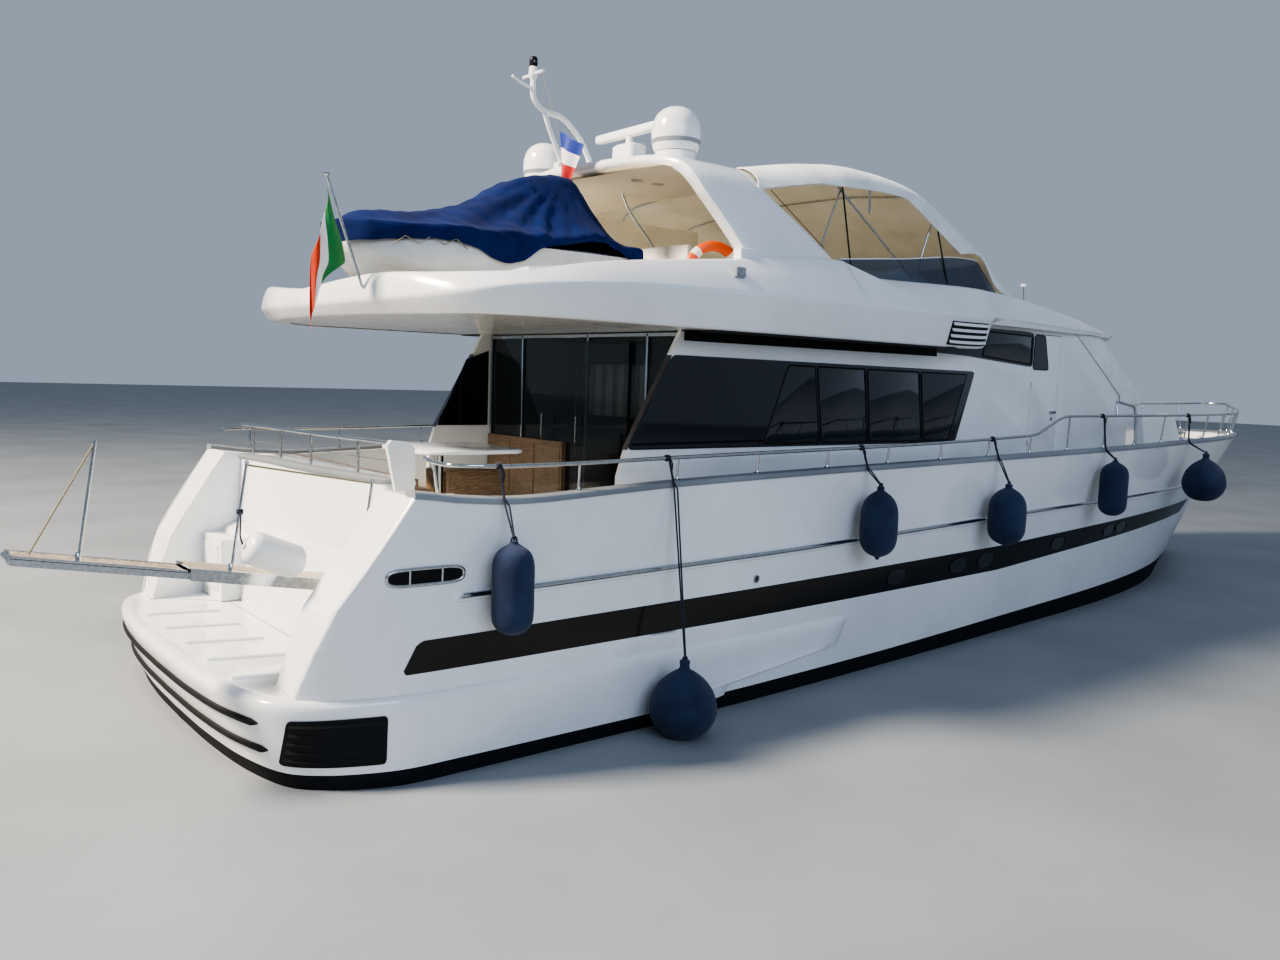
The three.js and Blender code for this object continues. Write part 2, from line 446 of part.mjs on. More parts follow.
const flybridgeShell = flyBody.subtract(planPrism(tubPlan, FLY_FLOOR, 5000)).subtract(planPrism(aftDeck, FLY_FLOOR, 5000))
  .subtract(planPrism(tubFront, HELM_FLOOR, 5000))
  .subtract(underWheelhouse);
const helmConsole = sidePrism([[-2600, FLY_FLOOR - 20], [-2720, 4780], [-2450, 4860], [-1700, 4700], [-1700, HELM_FLOOR - 20],
  [-2400, HELM_FLOOR - 20], [-2400, FLY_FLOOR - 20]], -1500, -300);
const flySeat = join(block(-4300, -3500, -1500, -300, FLY_FLOOR - 20, 4420), block(-4450, -4250, -1500, -300, FLY_FLOOR - 20, 4950));
const flySofa = join(block(-5600, -2800, 1300, 2150, FLY_FLOOR - 20, 4420));
const WHEEL = { x: -2830, y: -900, z: 4560, tilt: -75, hub: 125 };
const wheelWay = [-Math.sin((-WHEEL.tilt * Math.PI) / 180), 0, Math.cos((WHEEL.tilt * Math.PI) / 180)];
const alongWheel = (d) => [WHEEL.x + wheelWay[0] * d, WHEEL.y, WHEEL.z + wheelWay[2] * d];
const wheelBoss = pipe([alongWheel(-WHEEL.hub - FIT), alongWheel(-WHEEL.hub - 90)], 48, 10);
place('flybridge', join(flybridgeShell, helmConsole, flySeat, flySofa, wheelBoss), 'gelcoat');

// Helm wheel on the upper console
const wheelRim = solid(new THREE.TorusGeometry(200, 16, 6, 20)).add(solid(new THREE.BoxGeometry(400, 30, 16)))
  .add(solid(new THREE.BoxGeometry(30, 400, 16))).add(solid(new THREE.CylinderGeometry(35, 35, 130, 10).rotateX(Math.PI / 2)
    .translate(0, 0, -60)));
const helmWheel = wheelRim.rotate([0, WHEEL.tilt, 0]).translate([WHEEL.x, WHEEL.y, WHEEL.z]);
place('helm_wheel', helmWheel, 'black');

// GLAZING bonded over the openings
const saloonPanel = sidePrism([[-7340, 2610], [-6830, 3560], [-1480, 3585], [-1790, 2600]], HOUSE_SIDE + FIT, HOUSE_SIDE + 12);
place('saloon_glazing_starboard', mirror(saloonPanel), 'glass');
place('saloon_glazing_port', saloonPanel, 'glass');
const wheelhousePanel = sidePrism([[-2270, 3780], [-1210, 4110], [-60, 4160], [-60, 3660]], HOUSE_SIDE + FIT, HOUSE_SIDE + 12);
place('wheelhouse_glazing_starboard', mirror(wheelhousePanel), 'glass');
place('wheelhouse_glazing_port', wheelhousePanel, 'glass');

// Side doors, hinged at their after edge
const doorLeaf = block(DOOR.x0, DOOR.x1, HOUSE_SIDE - 45, HOUSE_SIDE, DOOR.z0, DOOR.z1)
  .add(block(DOOR.x1 - 190, DOOR.x1 - 60, HOUSE_SIDE - 1, HOUSE_SIDE + 28, 3010, 3040))
  .add(join(...HINGE.heights.map((z) => knuckle(z - 60, z, HINGE.x, DOOR.x0 + 35))));
place('side_door_starboard', mirror(doorLeaf), 'gelcoat');
place('side_door_port', doorLeaf, 'gelcoat');

// AFT BULKHEAD: frame with fixed glass, and the sliding door ahead of it
const BULK = { x0: -6540, x1: -6480, half: 1950 - FIT, z0: SALOON_SOLE + FIT, z1: FLY_UNDERSIDE - FIT };
const bulkOutline = [[-BULK.half, BULK.z0], [BULK.half, BULK.z0], [BULK.half, BULK.z1], [-BULK.half, BULK.z1]];
const bulkhead = frontPrism(bulkOutline, BULK.x0, BULK.x1)
  .subtract(block(-7000, -6000, -1000, -60, SALOON_SOLE + 40, 3700));
place('aft_bulkhead', bulkhead, 'glass');
place('saloon_door', block(-6588, -6548, -1030, -30, COCKPIT_SOLE + 30, 3730)
  .add(block(-6620, -6587, -960, -930, 2400, 2700))
  .add(block(-6549, BULK.x0 - FIT, -1030, -30, 3704, 3728)), 'glass');

// FLY WINDSCREEN: a low tinted screen on the coaming
const flyScreenPlan = [[-4640, 2290], [-4400, 2285], [-3500, 2250], [-1900, 2150], [-1080, 2030], [-900, 1400], [-820, 0]];
const FLY_GLASS_TOP = [[-4640, 4715], [-3500, 4830], [-1900, 4985], [-1500, 4960], [0, 4960]];
const flyScreenRing = (shift, t) => {
  const outer = flyScreenPlan.map(([x, y]) => [x + shift * read([[-2000, 0.3], [-1000, 1]], x) * (x < -3600 ? 0 : 1), y]);
  const both = (list, d) => {
    const half = list.map(([x, y], i) => [x - (i > 3 ? d : 0), Math.max(y - d, 0)]);
    return [...half, ...half.slice(0, -1).map(([x, y]) => [x, -y]).reverse()];
  };
  const height = ([x, y]) => [x, y, shift ? read(FLY_GLASS_TOP, x) : flyTopZ(x) - 25];
  return [...both(outer, 0), ...both(outer, t).reverse()].map(height);
};
place('fly_windscreen', solid(loft([flyScreenRing(0, 10), flyScreenRing(-560, 10)]))
  .subtract(flyBody.scale([1, 1, 1.0001])).decompose().sort((a, b) => b.volume() - a.volume())[0], 'glass');

// ARCH with the hardtop, the radar post and its foot
const legRing = (z, aft, fore, inner, outer) => [[aft, outer - 60, z], [aft + 250, outer, z], [fore - 250, outer, z],
  [fore, outer - 60, z], [fore, inner, z], [aft, inner, z]];
const legBody = solid(loft([legRing(4450, -6050, -4490, 2200, 2390), legRing(5600, -6960, -6040, 1960, 2110)]));
const legs = legBody.subtract(flyBody.scale([1, 1, 1.0001])).decompose().sort((m, n) => n.volume() - m.volume())[0];
const TOP_HALF = [[2070, -6580, -5880, 5330, 5440], [1920, -6620, -5700, 5440, 5570], [1500, -6720, -5350, 5500, 5640],
  [0, -6960, -5350, 5510, 5690]];
const topRing = ([y, aft, fore, low, top]) => [[aft, y, low + 20], [-6250, y, low], [fore, y, low + 10], [fore, y, top - 20],
  [-6250, y, top + 20], [aft, y, top - 10]];
const hardtop = solid(loft([...TOP_HALF.map(topRing), ...TOP_HALF.slice(0, -1).map(([y, ...rest]) => topRing([-y, ...rest]))
  .reverse()]));
const RADAR_X = -5870;
const radarPost = join(block(RADAR_X - 160, RADAR_X + 160, -150, 150, 5600, 5900),
  block(RADAR_X - 130, RADAR_X + 130, -200, 200, 5890, 6100));
const domePad = (y) => turned([[0, 5600], [225, 5600], [225, 5760 - FIT], [0, 5760 - FIT]], 12).translate([-6230, y, 0]);
const mastPads = join(block(-6920, -6800, -60, 60, 5600, 5740), block(-6530, -6390, -60, 60, 5600, 5790));
const archBody = join(legs, mirror(legs), hardtop, radarPost, domePad(1280), domePad(-1280), mastPads);
place('arch', archBody, 'gelcoat');
place('radar_antenna', join(block(RADAR_X - 55, RADAR_X + 55, -640, 640, 6190, 6300),
  block(RADAR_X - 45, RADAR_X + 45, -50, 50, 6100 + FIT, 6200)), 'gelcoat');
const dome = turned([[0, 0], [230, 0], [262, 60], [272, 200], [240, 360], [150, 460], [0, 495]], 16);
place('dome_starboard', dome.translate([-6230, -1280, 5760]), 'gelcoat');
place('dome_port', dome.translate([-6230, 1280, 5760]), 'gelcoat');
place('mast', join(pipe([[-6460, 0, 5790 + FIT], [-6460, 0, 5840], [-6600, 0, 6060], [-6770, 0, 6200], [-6870, 0, 6250],
  [-7080, 0, 6265], [-7180, 0, 6310], [-7250, 0, 6400], [-7250, 0, 6860]], 32, 8),
pipe([[-6860, 0, 5740 + FIT], [-6860, 0, 5780], [-7040, 0, 6130], [-7090, 0, 6262]], 28, 8),
pipe([[-7250, -330, 6640], [-7250, 330, 6640]], 18, 6)), 'gelcoat');

// CANOPY over the upper helm
const CANOPY_WALL = 20;
const canopySection = ([x, low, top, half, crown, drop]) => {
  const halfRing = (inset) => [[half - inset, low], [half - inset, top - drop], [half * 0.86 - inset, top - drop * 0.19 - inset],
    [0, top + crown - inset]];
  const outer = halfRing(0);
  const inner = halfRing(CANOPY_WALL);
  const flip = (list) => list.slice(0, -1).map(([y, z]) => [-y, z]).reverse();
  return [...outer, ...flip(outer), ...[...inner, ...flip(inner)].reverse()].map(([y, z]) => [x, y, z]);
};
// columns: x, lower edge, shoulder top, half breadth, crown, depth of the shoulder
const canopyRows = [[-5350 + FIT, 5206, 5650, 2335, 60, 240], [-4780, 4790, 5822, 2335, 60, 240],
  [-4180, 4790, 5860, 2335, 60, 240], [-3180, 4920, 5770, 2335, 60, 240], [-2430, 4990, 5440, 2270, 190, 126],
  [-1760, 5035, 5140, 2190, 230, 40], [-1260, 4700, 4900, 2110, 210, 56], [-480, 4590, 4660, 1900, 60, 24]];
const canopyBody = solid(loft(canopyRows.map(canopySection)));
const sideOpening = sidePrism([[-4560, 4890], [-5060, 5290], [-4440, 5500], [-3260, 5450], [-2740, 5340], [-2140, 5090]], -2500, 2500);
place('canopy', canopyBody.subtract(sideOpening), 'canvas');

// TENDER on its chocks on the after end of the upper deck
const tenderRows = [[-9800, 60, 4400], [-9600, 340, 4370], [-9050, 600, 4340], [-8200, 740, 4320], [-6550, 740, 4320]];
const tenderHullBody = solid(loft(tenderRows.map(([x, half, low]) => [[x, -700 + half * 0.3, low - 200 + (x < -9600 ? 120 : 0)],
  [x, -700 + half, low], [x, -700 + half, 4560], [x, -700 - half, 4560], [x, -700 - half, low],
  [x, -700 - half * 0.3, low - 200 + (x < -9600 ? 120 : 0)]])));
const chocks = join(block(-8900, -8750, -1150, -250, FLY_FLOOR + FIT, 4330), block(-7100, -6950, -1150, -250, FLY_FLOOR + FIT, 4330));
place('tender_hull', join(tenderHullBody, chocks), 'tube');
const coverRows = [[-9830, 80, 4600, 4620], [-9620, 380, 4620, 4780], [-9100, 660, 4640, 4810], [-8690, 720, 4660, 4940],
  [-8280, 760, 4680, 5120], [-7830, 790, 4700, 5330], [-7370, 790, 4700, 5390], [-7040, 790, 4690, 5110],
  [-6500, 780, 4600, 4740]];
place('tender_cover', solid(loft(coverRows.map(([x, half, edge, top]) => [[x, -700 + half, 4560 + FIT], [x, -700 + half, edge],
  [x, -700 + half * 0.3, top], [x, -700 - half * 0.3, top], [x, -700 - half, edge], [x, -700 - half, 4560 + FIT]]))), 'blue');

// ENSIGN on its staff
const STAFF = [[-9650, -1250, FLY_FLOOR + FIT], [-9650, -1250, FLY_FLOOR + 35], [-9790, -1250, 4050], [-10120, -1250, 4975]];
place('ensign_staff', pipe(STAFF, 16, 6), 'steel');
place('ensign', solid(loft([[-10160, -10096, 4880], [-10230, -9960, 4420], [-10250, -9918, 4230], [-10260, -10060, 4020],
  [-10240, -10120, 3620]].map(([a, b, z]) => [[a, -1275, z], [b, -1275, z], [b, -1225, z], [a, -1225, z]])))
  .subtract(pipe(STAFF, 16 + FIT, 6)).decompose().sort((m, n) => n.volume() - m.volume())[0], 'flag');

// COCKPIT: table and settee
const TABLE_X = -8350;
const TABLE_TOP = COCKPIT_SOLE + 770;
place('cockpit_table', join(planPrism([[-8850, -300], [-8780, -500], [-8560, -640], [-7720, -640], [-7600, -520], [-7600, 520],
  [-7720, 640], [-8560, 640], [-8780, 500], [-8850, 300]], TABLE_TOP - 45, TABLE_TOP),
pipe([[TABLE_X, 0, COCKPIT_SOLE + FIT], [TABLE_X, 0, TABLE_TOP - 40]], 50, 10)), 'gelcoat');
const SEAT_TOP = COCKPIT_SOLE + 430;
place('cockpit_settee', join(block(-9170, -8900, -900, 2300, COCKPIT_SOLE + FIT, SEAT_TOP),
  block(-9170, -9040, -900, 2300, SEAT_TOP - 30, 2280)), 'wood');

// PASSERELLE: outer section hinged at the step, inner section slides in it
const PASS = { y0: -1590, y1: -1160, x: -9850, z: 1400, rise: 0.178 };
const passZ = (x) => PASS.z + (PASS.x - x) * PASS.rise;
const beam = (x0, x1, y0, y1, low, high) => sidePrism([[x0, passZ(x0) + low], [x1, passZ(x1) + low], [x1, passZ(x1) + high],
  [x0, passZ(x0) + high]], y0, y1);
const passPost = (x, y, base) => pipe([[x, y, passZ(x) + base], [x + 130, y, passZ(x) + 930]], 13, 6);
const hingeBarrel = pipe([[PASS.x, PASS.y0, PASS.z], [PASS.x, PASS.y1, PASS.z]], 60, 12);
const outerFrame = join(beam(-11350, PASS.x, PASS.y0, PASS.y0 + 40, -45, 55), beam(-11350, PASS.x, PASS.y1 - 40, PASS.y1, -45, 55),
  beam(-11350, PASS.x, PASS.y0, PASS.y1, 35, 55), hingeBarrel,
  passPost(-11040, PASS.y0 + 15, 40), passPost(-9960, PASS.y0 + 15, 40));
place('passerelle', outerFrame, 'steel');
const innerFrame = join(beam(-12560, -10850, PASS.y0 + 40 + FIT, PASS.y1 - 40 - FIT, -40, 26), passPost(-12130, PASS.y0 + 65, 20));
place('passerelle_slide', innerFrame, 'steel');

// FENDERS with their lanyards to the rail: [name, x, radius, bottom, top]
const FENDERS = [['fender_1', -9200, 175, 1190, 1970, 'long'], ['fender_2', -7360, 320, -20, 720, 'ball'],
  ['fender_3', -4520, 205, 1420, 2230, 'pear'], ['fender_4', -1930, 230, 1350, 2150, 'pear'],
  ['fender_5', 830, 190, 1590, 2380, 'long'], ['fender_6', 3750, 320, 1660, 2420, 'ball']];
FENDERS.forEach(([name, x, radius, low, high, shape]) => {
  const h = high - low;
  const profile = {
    long: [[0, 0], [radius * 0.6, 20], [radius, h * 0.14], [radius, h * 0.84], [radius * 0.5, h * 0.95], [30, h], [0, h]],
    pear: [[0, 0], [radius * 0.6, h * 0.07], [radius, h * 0.3], [radius * 0.92, h * 0.5], [radius * 0.4, h * 0.86], [35, h], [0, h]],
    ball: [[0, 0], [radius * 0.6, h * 0.07], [radius, h * 0.36], [radius * 0.85, h * 0.62], [60, h * 0.88], [45, h], [0, h]],
  }[shape];
  const heights = [0, 0.2, 0.4, 0.6, 0.8, 1].map((k) => Math.min(low + h * k, 2400));
  const side = Math.max(...heights.map((z) => hullHalf(x - radius * 0.7, Math.max(z, 0)))) + (x < -4450 ? BELT_OUT : 20) + 10;
  const y = -(side + radius);
  const edge = read(DECK_PLAN, x) + 30;
  const lanyard = pipe([[x, y, high - 10], [x, y, high + 5], [x, Math.max(-edge - 40, y), read(CAP_LINE, x) + 10],
    [x, -edge, read(CAP_LINE, x) + 75], [x, -railY(x) - 12, railZ(x) - 5]], 9, 5);
  const knot = block(x - 22, x + 22, -railY(x) - 32, -railY(x) + 32, railZ(x) - 32, railZ(x) + 32);
  place(name, join(turned(profile, 12).translate([x, y, low]), lanyard, knot).subtract(mirror(railTube(FIT))), 'fender');
});

// Short fender slung beside the passerelle from its middle post
const SLUNG = { x: -10745, y: PASS.y0 - 145, z: 1800, radius: 140, half: 255, lean: -67, knot: 2150 };
const slungBody = turned([[0, -SLUNG.half], [SLUNG.radius * 0.6, 15 - SLUNG.half], [SLUNG.radius, 105 - SLUNG.half],
  [SLUNG.radius, SLUNG.half - 105], [SLUNG.radius * 0.6, SLUNG.half - 15], [0, SLUNG.half]], 12)
  .rotate([0, SLUNG.lean, 0]).translate([SLUNG.x, SLUNG.y, SLUNG.z]);
const slungEnd = [SLUNG.x + SLUNG.half * Math.sin((SLUNG.lean * Math.PI) / 180) + 8, SLUNG.y,
  SLUNG.z + SLUNG.half * Math.cos((SLUNG.lean * Math.PI) / 180) - 4];
const midPost = [-11040, PASS.y0 + 15];
const postBase = passZ(midPost[0]) + 40;
const knotX = midPost[0] + 130 * ((SLUNG.knot - postBase) / 890);
const slungKnot = block(knotX - 24, knotX + 24, midPost[1] - 30, midPost[1] + 30, SLUNG.knot - 24, SLUNG.knot + 24)
  .subtract(pipe([[midPost[0], midPost[1], postBase], [midPost[0] + 130, midPost[1], postBase + 890]], 13 + 2 * FIT, 6));
place('fender_7', join(slungBody, pipe([slungEnd, [knotX, midPost[1] - 26, SLUNG.knot]], 9, 5), slungKnot), 'fender');

// PROPELLERS and RUDDERS
function propeller(hand) {
  const hub = solid(new THREE.CylinderGeometry(75, 62, 210, 12).rotateZ(Math.PI / 2));
  const blade = solid(loft([[55, 95, 8], [200, 150, 12], [330, 110, 8]].map(([r, wide, thick]) => [
    [-hand * wide * 0.55, -wide, r], [-hand * wide * 0.55 + thick, -wide, r], [hand * wide * 0.55 + thick, wide, r],
    [hand * wide * 0.55, wide, r]])));
  return [0, 90, 180, 270].reduce((a, angle) => a.add(blade.rotate([angle, 0, 0])), hub);
}
place('propeller_starboard', propeller(1).translate([PROP_X, -SHAFT_Y, PROP_Z]), 'bronze');
place('propeller_port', propeller(-1).translate([PROP_X, SHAFT_Y, PROP_Z]), 'bronze');
const rudder = join(planPrism([[-240, 0], [-150, 28], [120, 30], [330, 0], [120, -30], [-150, -28]].map(([x, y]) => [-x, y]), -1420, -770)
  .translate([RUDDER_X, 0, 0]), pipe([[RUDDER_X, 0, -800], [RUDDER_X, 0, RUDDER_BOSS - FIT]], 50, 12));
place('rudder_starboard', rudder.translate([0, -SHAFT_Y, 0]), 'bronze');
place('rudder_port', rudder.translate([0, SHAFT_Y, 0]), 'bronze');

// FOREDECK HATCH
place('foredeck_hatch', block(HATCH.x0, HATCH.x1, -HATCH.half, HATCH.half, HATCH.z, HATCH.z + 35)
  .add(hatchKnuckle(-200, -100, HATCH.x0 + 20, HATCH.z)).add(hatchKnuckle(100, 200, HATCH.x0 + 20, HATCH.z)), 'glass');

export default yacht;
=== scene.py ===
# %% [markdown]
# # A flybridge motor yacht
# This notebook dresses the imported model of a 22 m motor yacht: glossy moulded glass-fibre, stainless rails,
# smoked glass, stretched canvas, a covered tender and hanging fenders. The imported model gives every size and
# place, in metres: +X points to the bow, +Y to port, +Z up, and the water lies at z = 0.

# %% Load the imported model
import math

import bmesh
import bpy
import numpy as np
from mathutils import Matrix, Vector


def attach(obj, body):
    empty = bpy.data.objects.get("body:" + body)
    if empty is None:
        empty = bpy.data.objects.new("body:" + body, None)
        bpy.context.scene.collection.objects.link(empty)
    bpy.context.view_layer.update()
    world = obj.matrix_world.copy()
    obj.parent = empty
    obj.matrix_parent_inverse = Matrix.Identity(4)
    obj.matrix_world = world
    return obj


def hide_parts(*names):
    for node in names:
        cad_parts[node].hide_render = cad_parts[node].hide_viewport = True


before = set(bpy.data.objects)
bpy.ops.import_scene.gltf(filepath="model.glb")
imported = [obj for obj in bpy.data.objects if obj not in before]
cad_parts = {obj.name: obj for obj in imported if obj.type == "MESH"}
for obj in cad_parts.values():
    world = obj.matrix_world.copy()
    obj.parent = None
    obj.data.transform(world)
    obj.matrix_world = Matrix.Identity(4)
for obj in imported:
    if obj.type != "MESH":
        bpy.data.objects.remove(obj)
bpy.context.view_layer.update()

# %% [markdown]
# ## Camera
# The photographer stood on a quay off the starboard quarter, a little higher than the deck. The lens is a
# short one, so the stern looms large and the bow runs away. A few degrees of roll are part of the view.

# %% Camera
CAMERA_PLACE = Vector((-13.671, -10.010, 3.332))
CAMERA_YAW, CAMERA_PITCH, CAMERA_ROLL = (math.radians(v) for v in (50.895, -5.663, 1.894))
LENS_MM = 29.0

ahead = Vector((math.cos(CAMERA_PITCH) * math.cos(CAMERA_YAW),
                math.cos(CAMERA_PITCH) * math.sin(CAMERA_YAW),
                math.sin(CAMERA_PITCH)))
level_right = ahead.cross(Vector((0, 0, 1))).normalized()
level_up = level_right.cross(ahead)
camera_right = math.cos(CAMERA_ROLL) * level_right + math.sin(CAMERA_ROLL) * level_up
camera_up = math.cos(CAMERA_ROLL) * level_up - math.sin(CAMERA_ROLL) * level_right
camera_data = bpy.data.cameras.new("camera")
camera_data.sensor_width = 36.0
camera_data.sensor_fit = "HORIZONTAL"
camera_data.lens = LENS_MM
camera_data.clip_end = 600.0
camera = bpy.data.objects.new("camera", camera_data)
camera.matrix_world = Matrix.Translation(CAMERA_PLACE) @ Matrix((camera_right, camera_up,
    -ahead)).transposed().to_4x4()
bpy.context.collection.objects.link(camera)
bpy.context.scene.camera = camera

# %% [markdown]
# ## Tools for shapes
# Most pieces are grids of points: rows along the boat, points around each row. `Shape` gathers grids, bars
# and turned parts into one mesh. Smooth lines run through few measured points, so each outline stays short.

# %% Lines through points


def read(table, x):
    """The value at x in a table of [x, value] rows, on straight lines between them."""
    return float(np.interp(x, [row[0] for row in table], [row[1] for row in table]))


def eased(table):
    """A smooth function through a table of [x, value] rows that never overshoots them."""
    xs, ys = (np.array([row[k] for row in table], float) for k in (0, 1))
    steps = np.diff(xs)
    slopes = np.diff(ys) / steps
    tangents = np.zeros_like(ys)
    tangents[0], tangents[-1] = slopes[0], slopes[-1]
    for k in range(1, len(ys) - 1):
        if slopes[k - 1] * slopes[k] > 0:
            tangents[k] = 2 * slopes[k - 1] * slopes[k] / (slopes[k - 1] + slopes[k])

    def value(x):
        x = min(max(x, xs[0]), xs[-1])
        k = min(int(np.searchsorted(xs, x, side="right")) - 1, len(xs) - 2)
        t = (x - xs[k]) / steps[k]
        return float(ys[k] * (2 * t**3 - 3 * t**2 + 1) + steps[k] * tangents[k] * (t**3 - 2 * t**2 + t)
                     + ys[k + 1] * (3 * t**2 - 2 * t**3) + steps[k] * tangents[k + 1] * (t**3 - t**2))

    return value


def smooth(points, per=6):
    """Points on a smooth line through the given ones, `per` to each stretch."""
    p = np.array(points, float)
    p = np.vstack([2 * p[0] - p[1], p, 2 * p[-1] - p[-2]])
    out = []
    for k in range(1, len(p) - 2):
        knots = np.cumsum([0.0] + [max(np.linalg.norm(p[k + i] - p[k + i - 1]), 1e-6) ** 0.5
                                   for i in (0, 1, 2)])
        for step in range(per):
            t = knots[1] + (knots[2] - knots[1]) * step / per
            a = [((knots[i + 1] - t) * p[k - 1 + i] + (t - knots[i]) * p[k + i]) / (knots[i + 1] - knots[i])
                 for i in (0, 1, 2)]
            b = [((knots[i + 2] - t) * a[i] + (t - knots[i]) * a[i + 1]) / (knots[i + 2] - knots[i])
                 for i in (0, 1)]
            out.append(((knots[2] - t) * b[0] + (t - knots[1]) * b[1]) / (knots[2] - knots[1]))
    return np.array([*out, p[-2]])


def rounded(points, radius, steps=4, closed=False):
    """A line whose corners are turned into small curves that start `radius` away from each corner."""
    p = [np.array(q, float) for q in points]
    count = len(p)
    out = []
    for k in range(count):
        if not closed and k in (0, count - 1):
            out.append(p[k])
            continue
        before, after = p[k - 1], p[(k + 1) % count]
        for_before = min(radius, 0.45 * np.linalg.norm(before - p[k]))
        for_after = min(radius, 0.45 * np.linalg.norm(after - p[k]))
        start = p[k] + (before - p[k]) * for_before / max(np.linalg.norm(before - p[k]), 1e-9)
        end = p[k] + (after - p[k]) * for_after / max(np.linalg.norm(after - p[k]), 1e-9)
        for step in range(steps + 1):
            t = step / steps
            out.append((1 - t) ** 2 * start + 2 * t * (1 - t) * p[k] + t**2 * end)
    return np.array(out)


# %% Shape, a mesh in the making


class Shape:
    """Gathers parts of one piece; `mark` is the number of the part's material on the piece."""

    def __init__(self):
        self.points, self.faces, self.marks = [], [], []

    def add(self, points, faces, mark=0):
        start = len(self.points)
        self.points += [tuple(float(v) for v in p) for p in points]
        self.faces += [tuple(start + i for i in face) for face in faces]
        self.marks += [mark] * len(faces)

    def grid(self, rows, around=False, ends=False, mark=0):
        n, m = len(rows), len(rows[0])
        across = m if around else m - 1
        faces = [(r * m + i, r * m + (i + 1) % m, (r + 1) * m + (i + 1) % m, (r + 1) * m + i)
                 for r in range(n - 1) for i in range(across)]
        if ends:
            faces += [tuple(range(m))[::-1], tuple((n - 1) * m + i for i in range(m))]
        self.add([p for row in rows for p in row], faces, mark)

    def shell(self, rows, thickness, mark=0, lining=None):
        """A wall whose outer face is the grid; its inner face lies `thickness` behind."""
        outer = np.array(rows, float)
        along = np.gradient(outer, axis=0)
        across = np.gradient(outer, axis=1)
        normal = np.cross(along, across)
        normal /= np.maximum(np.linalg.norm(normal, axis=2, keepdims=True), 1e-9)
        inner = outer - normal * thickness
        n, m = outer.shape[:2]
        index = np.arange(n * m).reshape(n, m)
        faces = [(index[r, i], index[r, i + 1], index[r + 1, i + 1], index[r + 1, i]) for r in range(n - 1)
                 for i in range(m - 1)]
        faces += [tuple(n * m + k for k in face[::-1]) for face in faces]
        rim = [*index[0, :], *index[1:, -1], *index[-1, -2::-1], *index[-2:0:-1, 0]]
        faces += [(rim[k], rim[k - 1], n * m + rim[k - 1], n * m + rim[k]) for k in range(len(rim))]
        self.add([*outer.reshape(-1, 3), *inner.reshape(-1, 3)], faces, mark)
        if lining is not None:
            first, behind = len(self.marks) - len(faces), (n - 1) * (m - 1)
            self.marks[first + behind:first + 2 * behind] = [lining] * behind

    def bar(self, path, radius, sides=12, mark=0, flat=1.0, closed=False, loop=False):
        """A round bar along a path; `radius` is one number or one for each point."""
        p = np.array(path, float)
        radii = np.broadcast_to(np.array(radius, float), (len(p),))
        ways = np.gradient(p, axis=0) if not loop else (np.roll(p, -1, 0) - np.roll(p, 1, 0))
        ways /= np.maximum(np.linalg.norm(ways, axis=1, keepdims=True), 1e-9)
        side = np.cross(ways[0], (0, 0, 1) if abs(ways[0][2]) < 0.9 else (1, 0, 0))
        rows = []
        for k in range(len(p)):
            side = side - ways[k] * side.dot(ways[k])
            side /= np.linalg.norm(side)
            up = np.cross(side, ways[k])
            rows.append([p[k] + radii[k] * (math.cos(a) * side + flat * math.sin(a) * up)
                         for a in (2 * math.pi * i / sides for i in range(sides))])
        if loop:
            rows.append(rows[0])
        self.grid(rows, around=True, ends=not loop, mark=mark)

    def turned(self, profile, centre, axis=(0, 0, 1), sides=24, mark=0):
        """A turned part; the profile lists (radius, distance along the axis)."""
        axis = Vector(axis).normalized()
        turn = axis.to_track_quat("Z", "Y")
        rows = []
        for r, z in profile:
            rows.append([Vector(centre) + turn
                         @ Vector((max(r, 1e-4) * math.cos(a), max(r, 1e-4) * math.sin(a), z))
                         for a in (2 * math.pi * i / sides for i in range(sides))])
        self.grid(rows, around=True, ends=True, mark=mark)

    def block(self, low, high, corner=0.0, mark=0):
        """A box with its upright edges rounded by `corner`."""
        (x0, y0, z0), (x1, y1, z1) = low, high
        outline = [(x0, y0), (x1, y0), (x1, y1), (x0, y1)]
        plan = rounded([(*q, 0) for q in outline], corner, 4,
                       closed=True) if corner else [(*q, 0) for q in outline]
        small = min(corner, 0.25 * (z1 - z0)) * 0.5
        rows = []
        middle = np.array([(x0 + x1) / 2, (y0 + y1) / 2, 0])
        for z, inset in ((z0, small), (z0 + small, 0), (z1 - small, 0), (z1, small)) if small else ((z0, 0),
            (z1, 0)):
            share = 1 - inset / (0.5 * min(x1 - x0, y1 - y0))
            rows.append([middle + (np.array(q) - middle) * share + np.array([0, 0, z]) for q in plan])
        self.grid(rows, around=True, ends=True, mark=mark)

    def prism(self, outline, way, mark=0):
        """A flat outline of points, carried along the vector `way`."""
        base = np.array(outline, float)
        self.grid([base, base + np.array(way, float)], around=True, ends=True, mark=mark)

    def mirrored(self):
        """Adds the same parts on the other side of the centreline."""
        count = len(self.points)
        self.points += [(x, -y, z) for x, y, z in self.points[:count]]
        self.faces += [tuple(count + i for i in face[::-1]) for face in list(self.faces)]
        self.marks += list(self.marks)
        return self


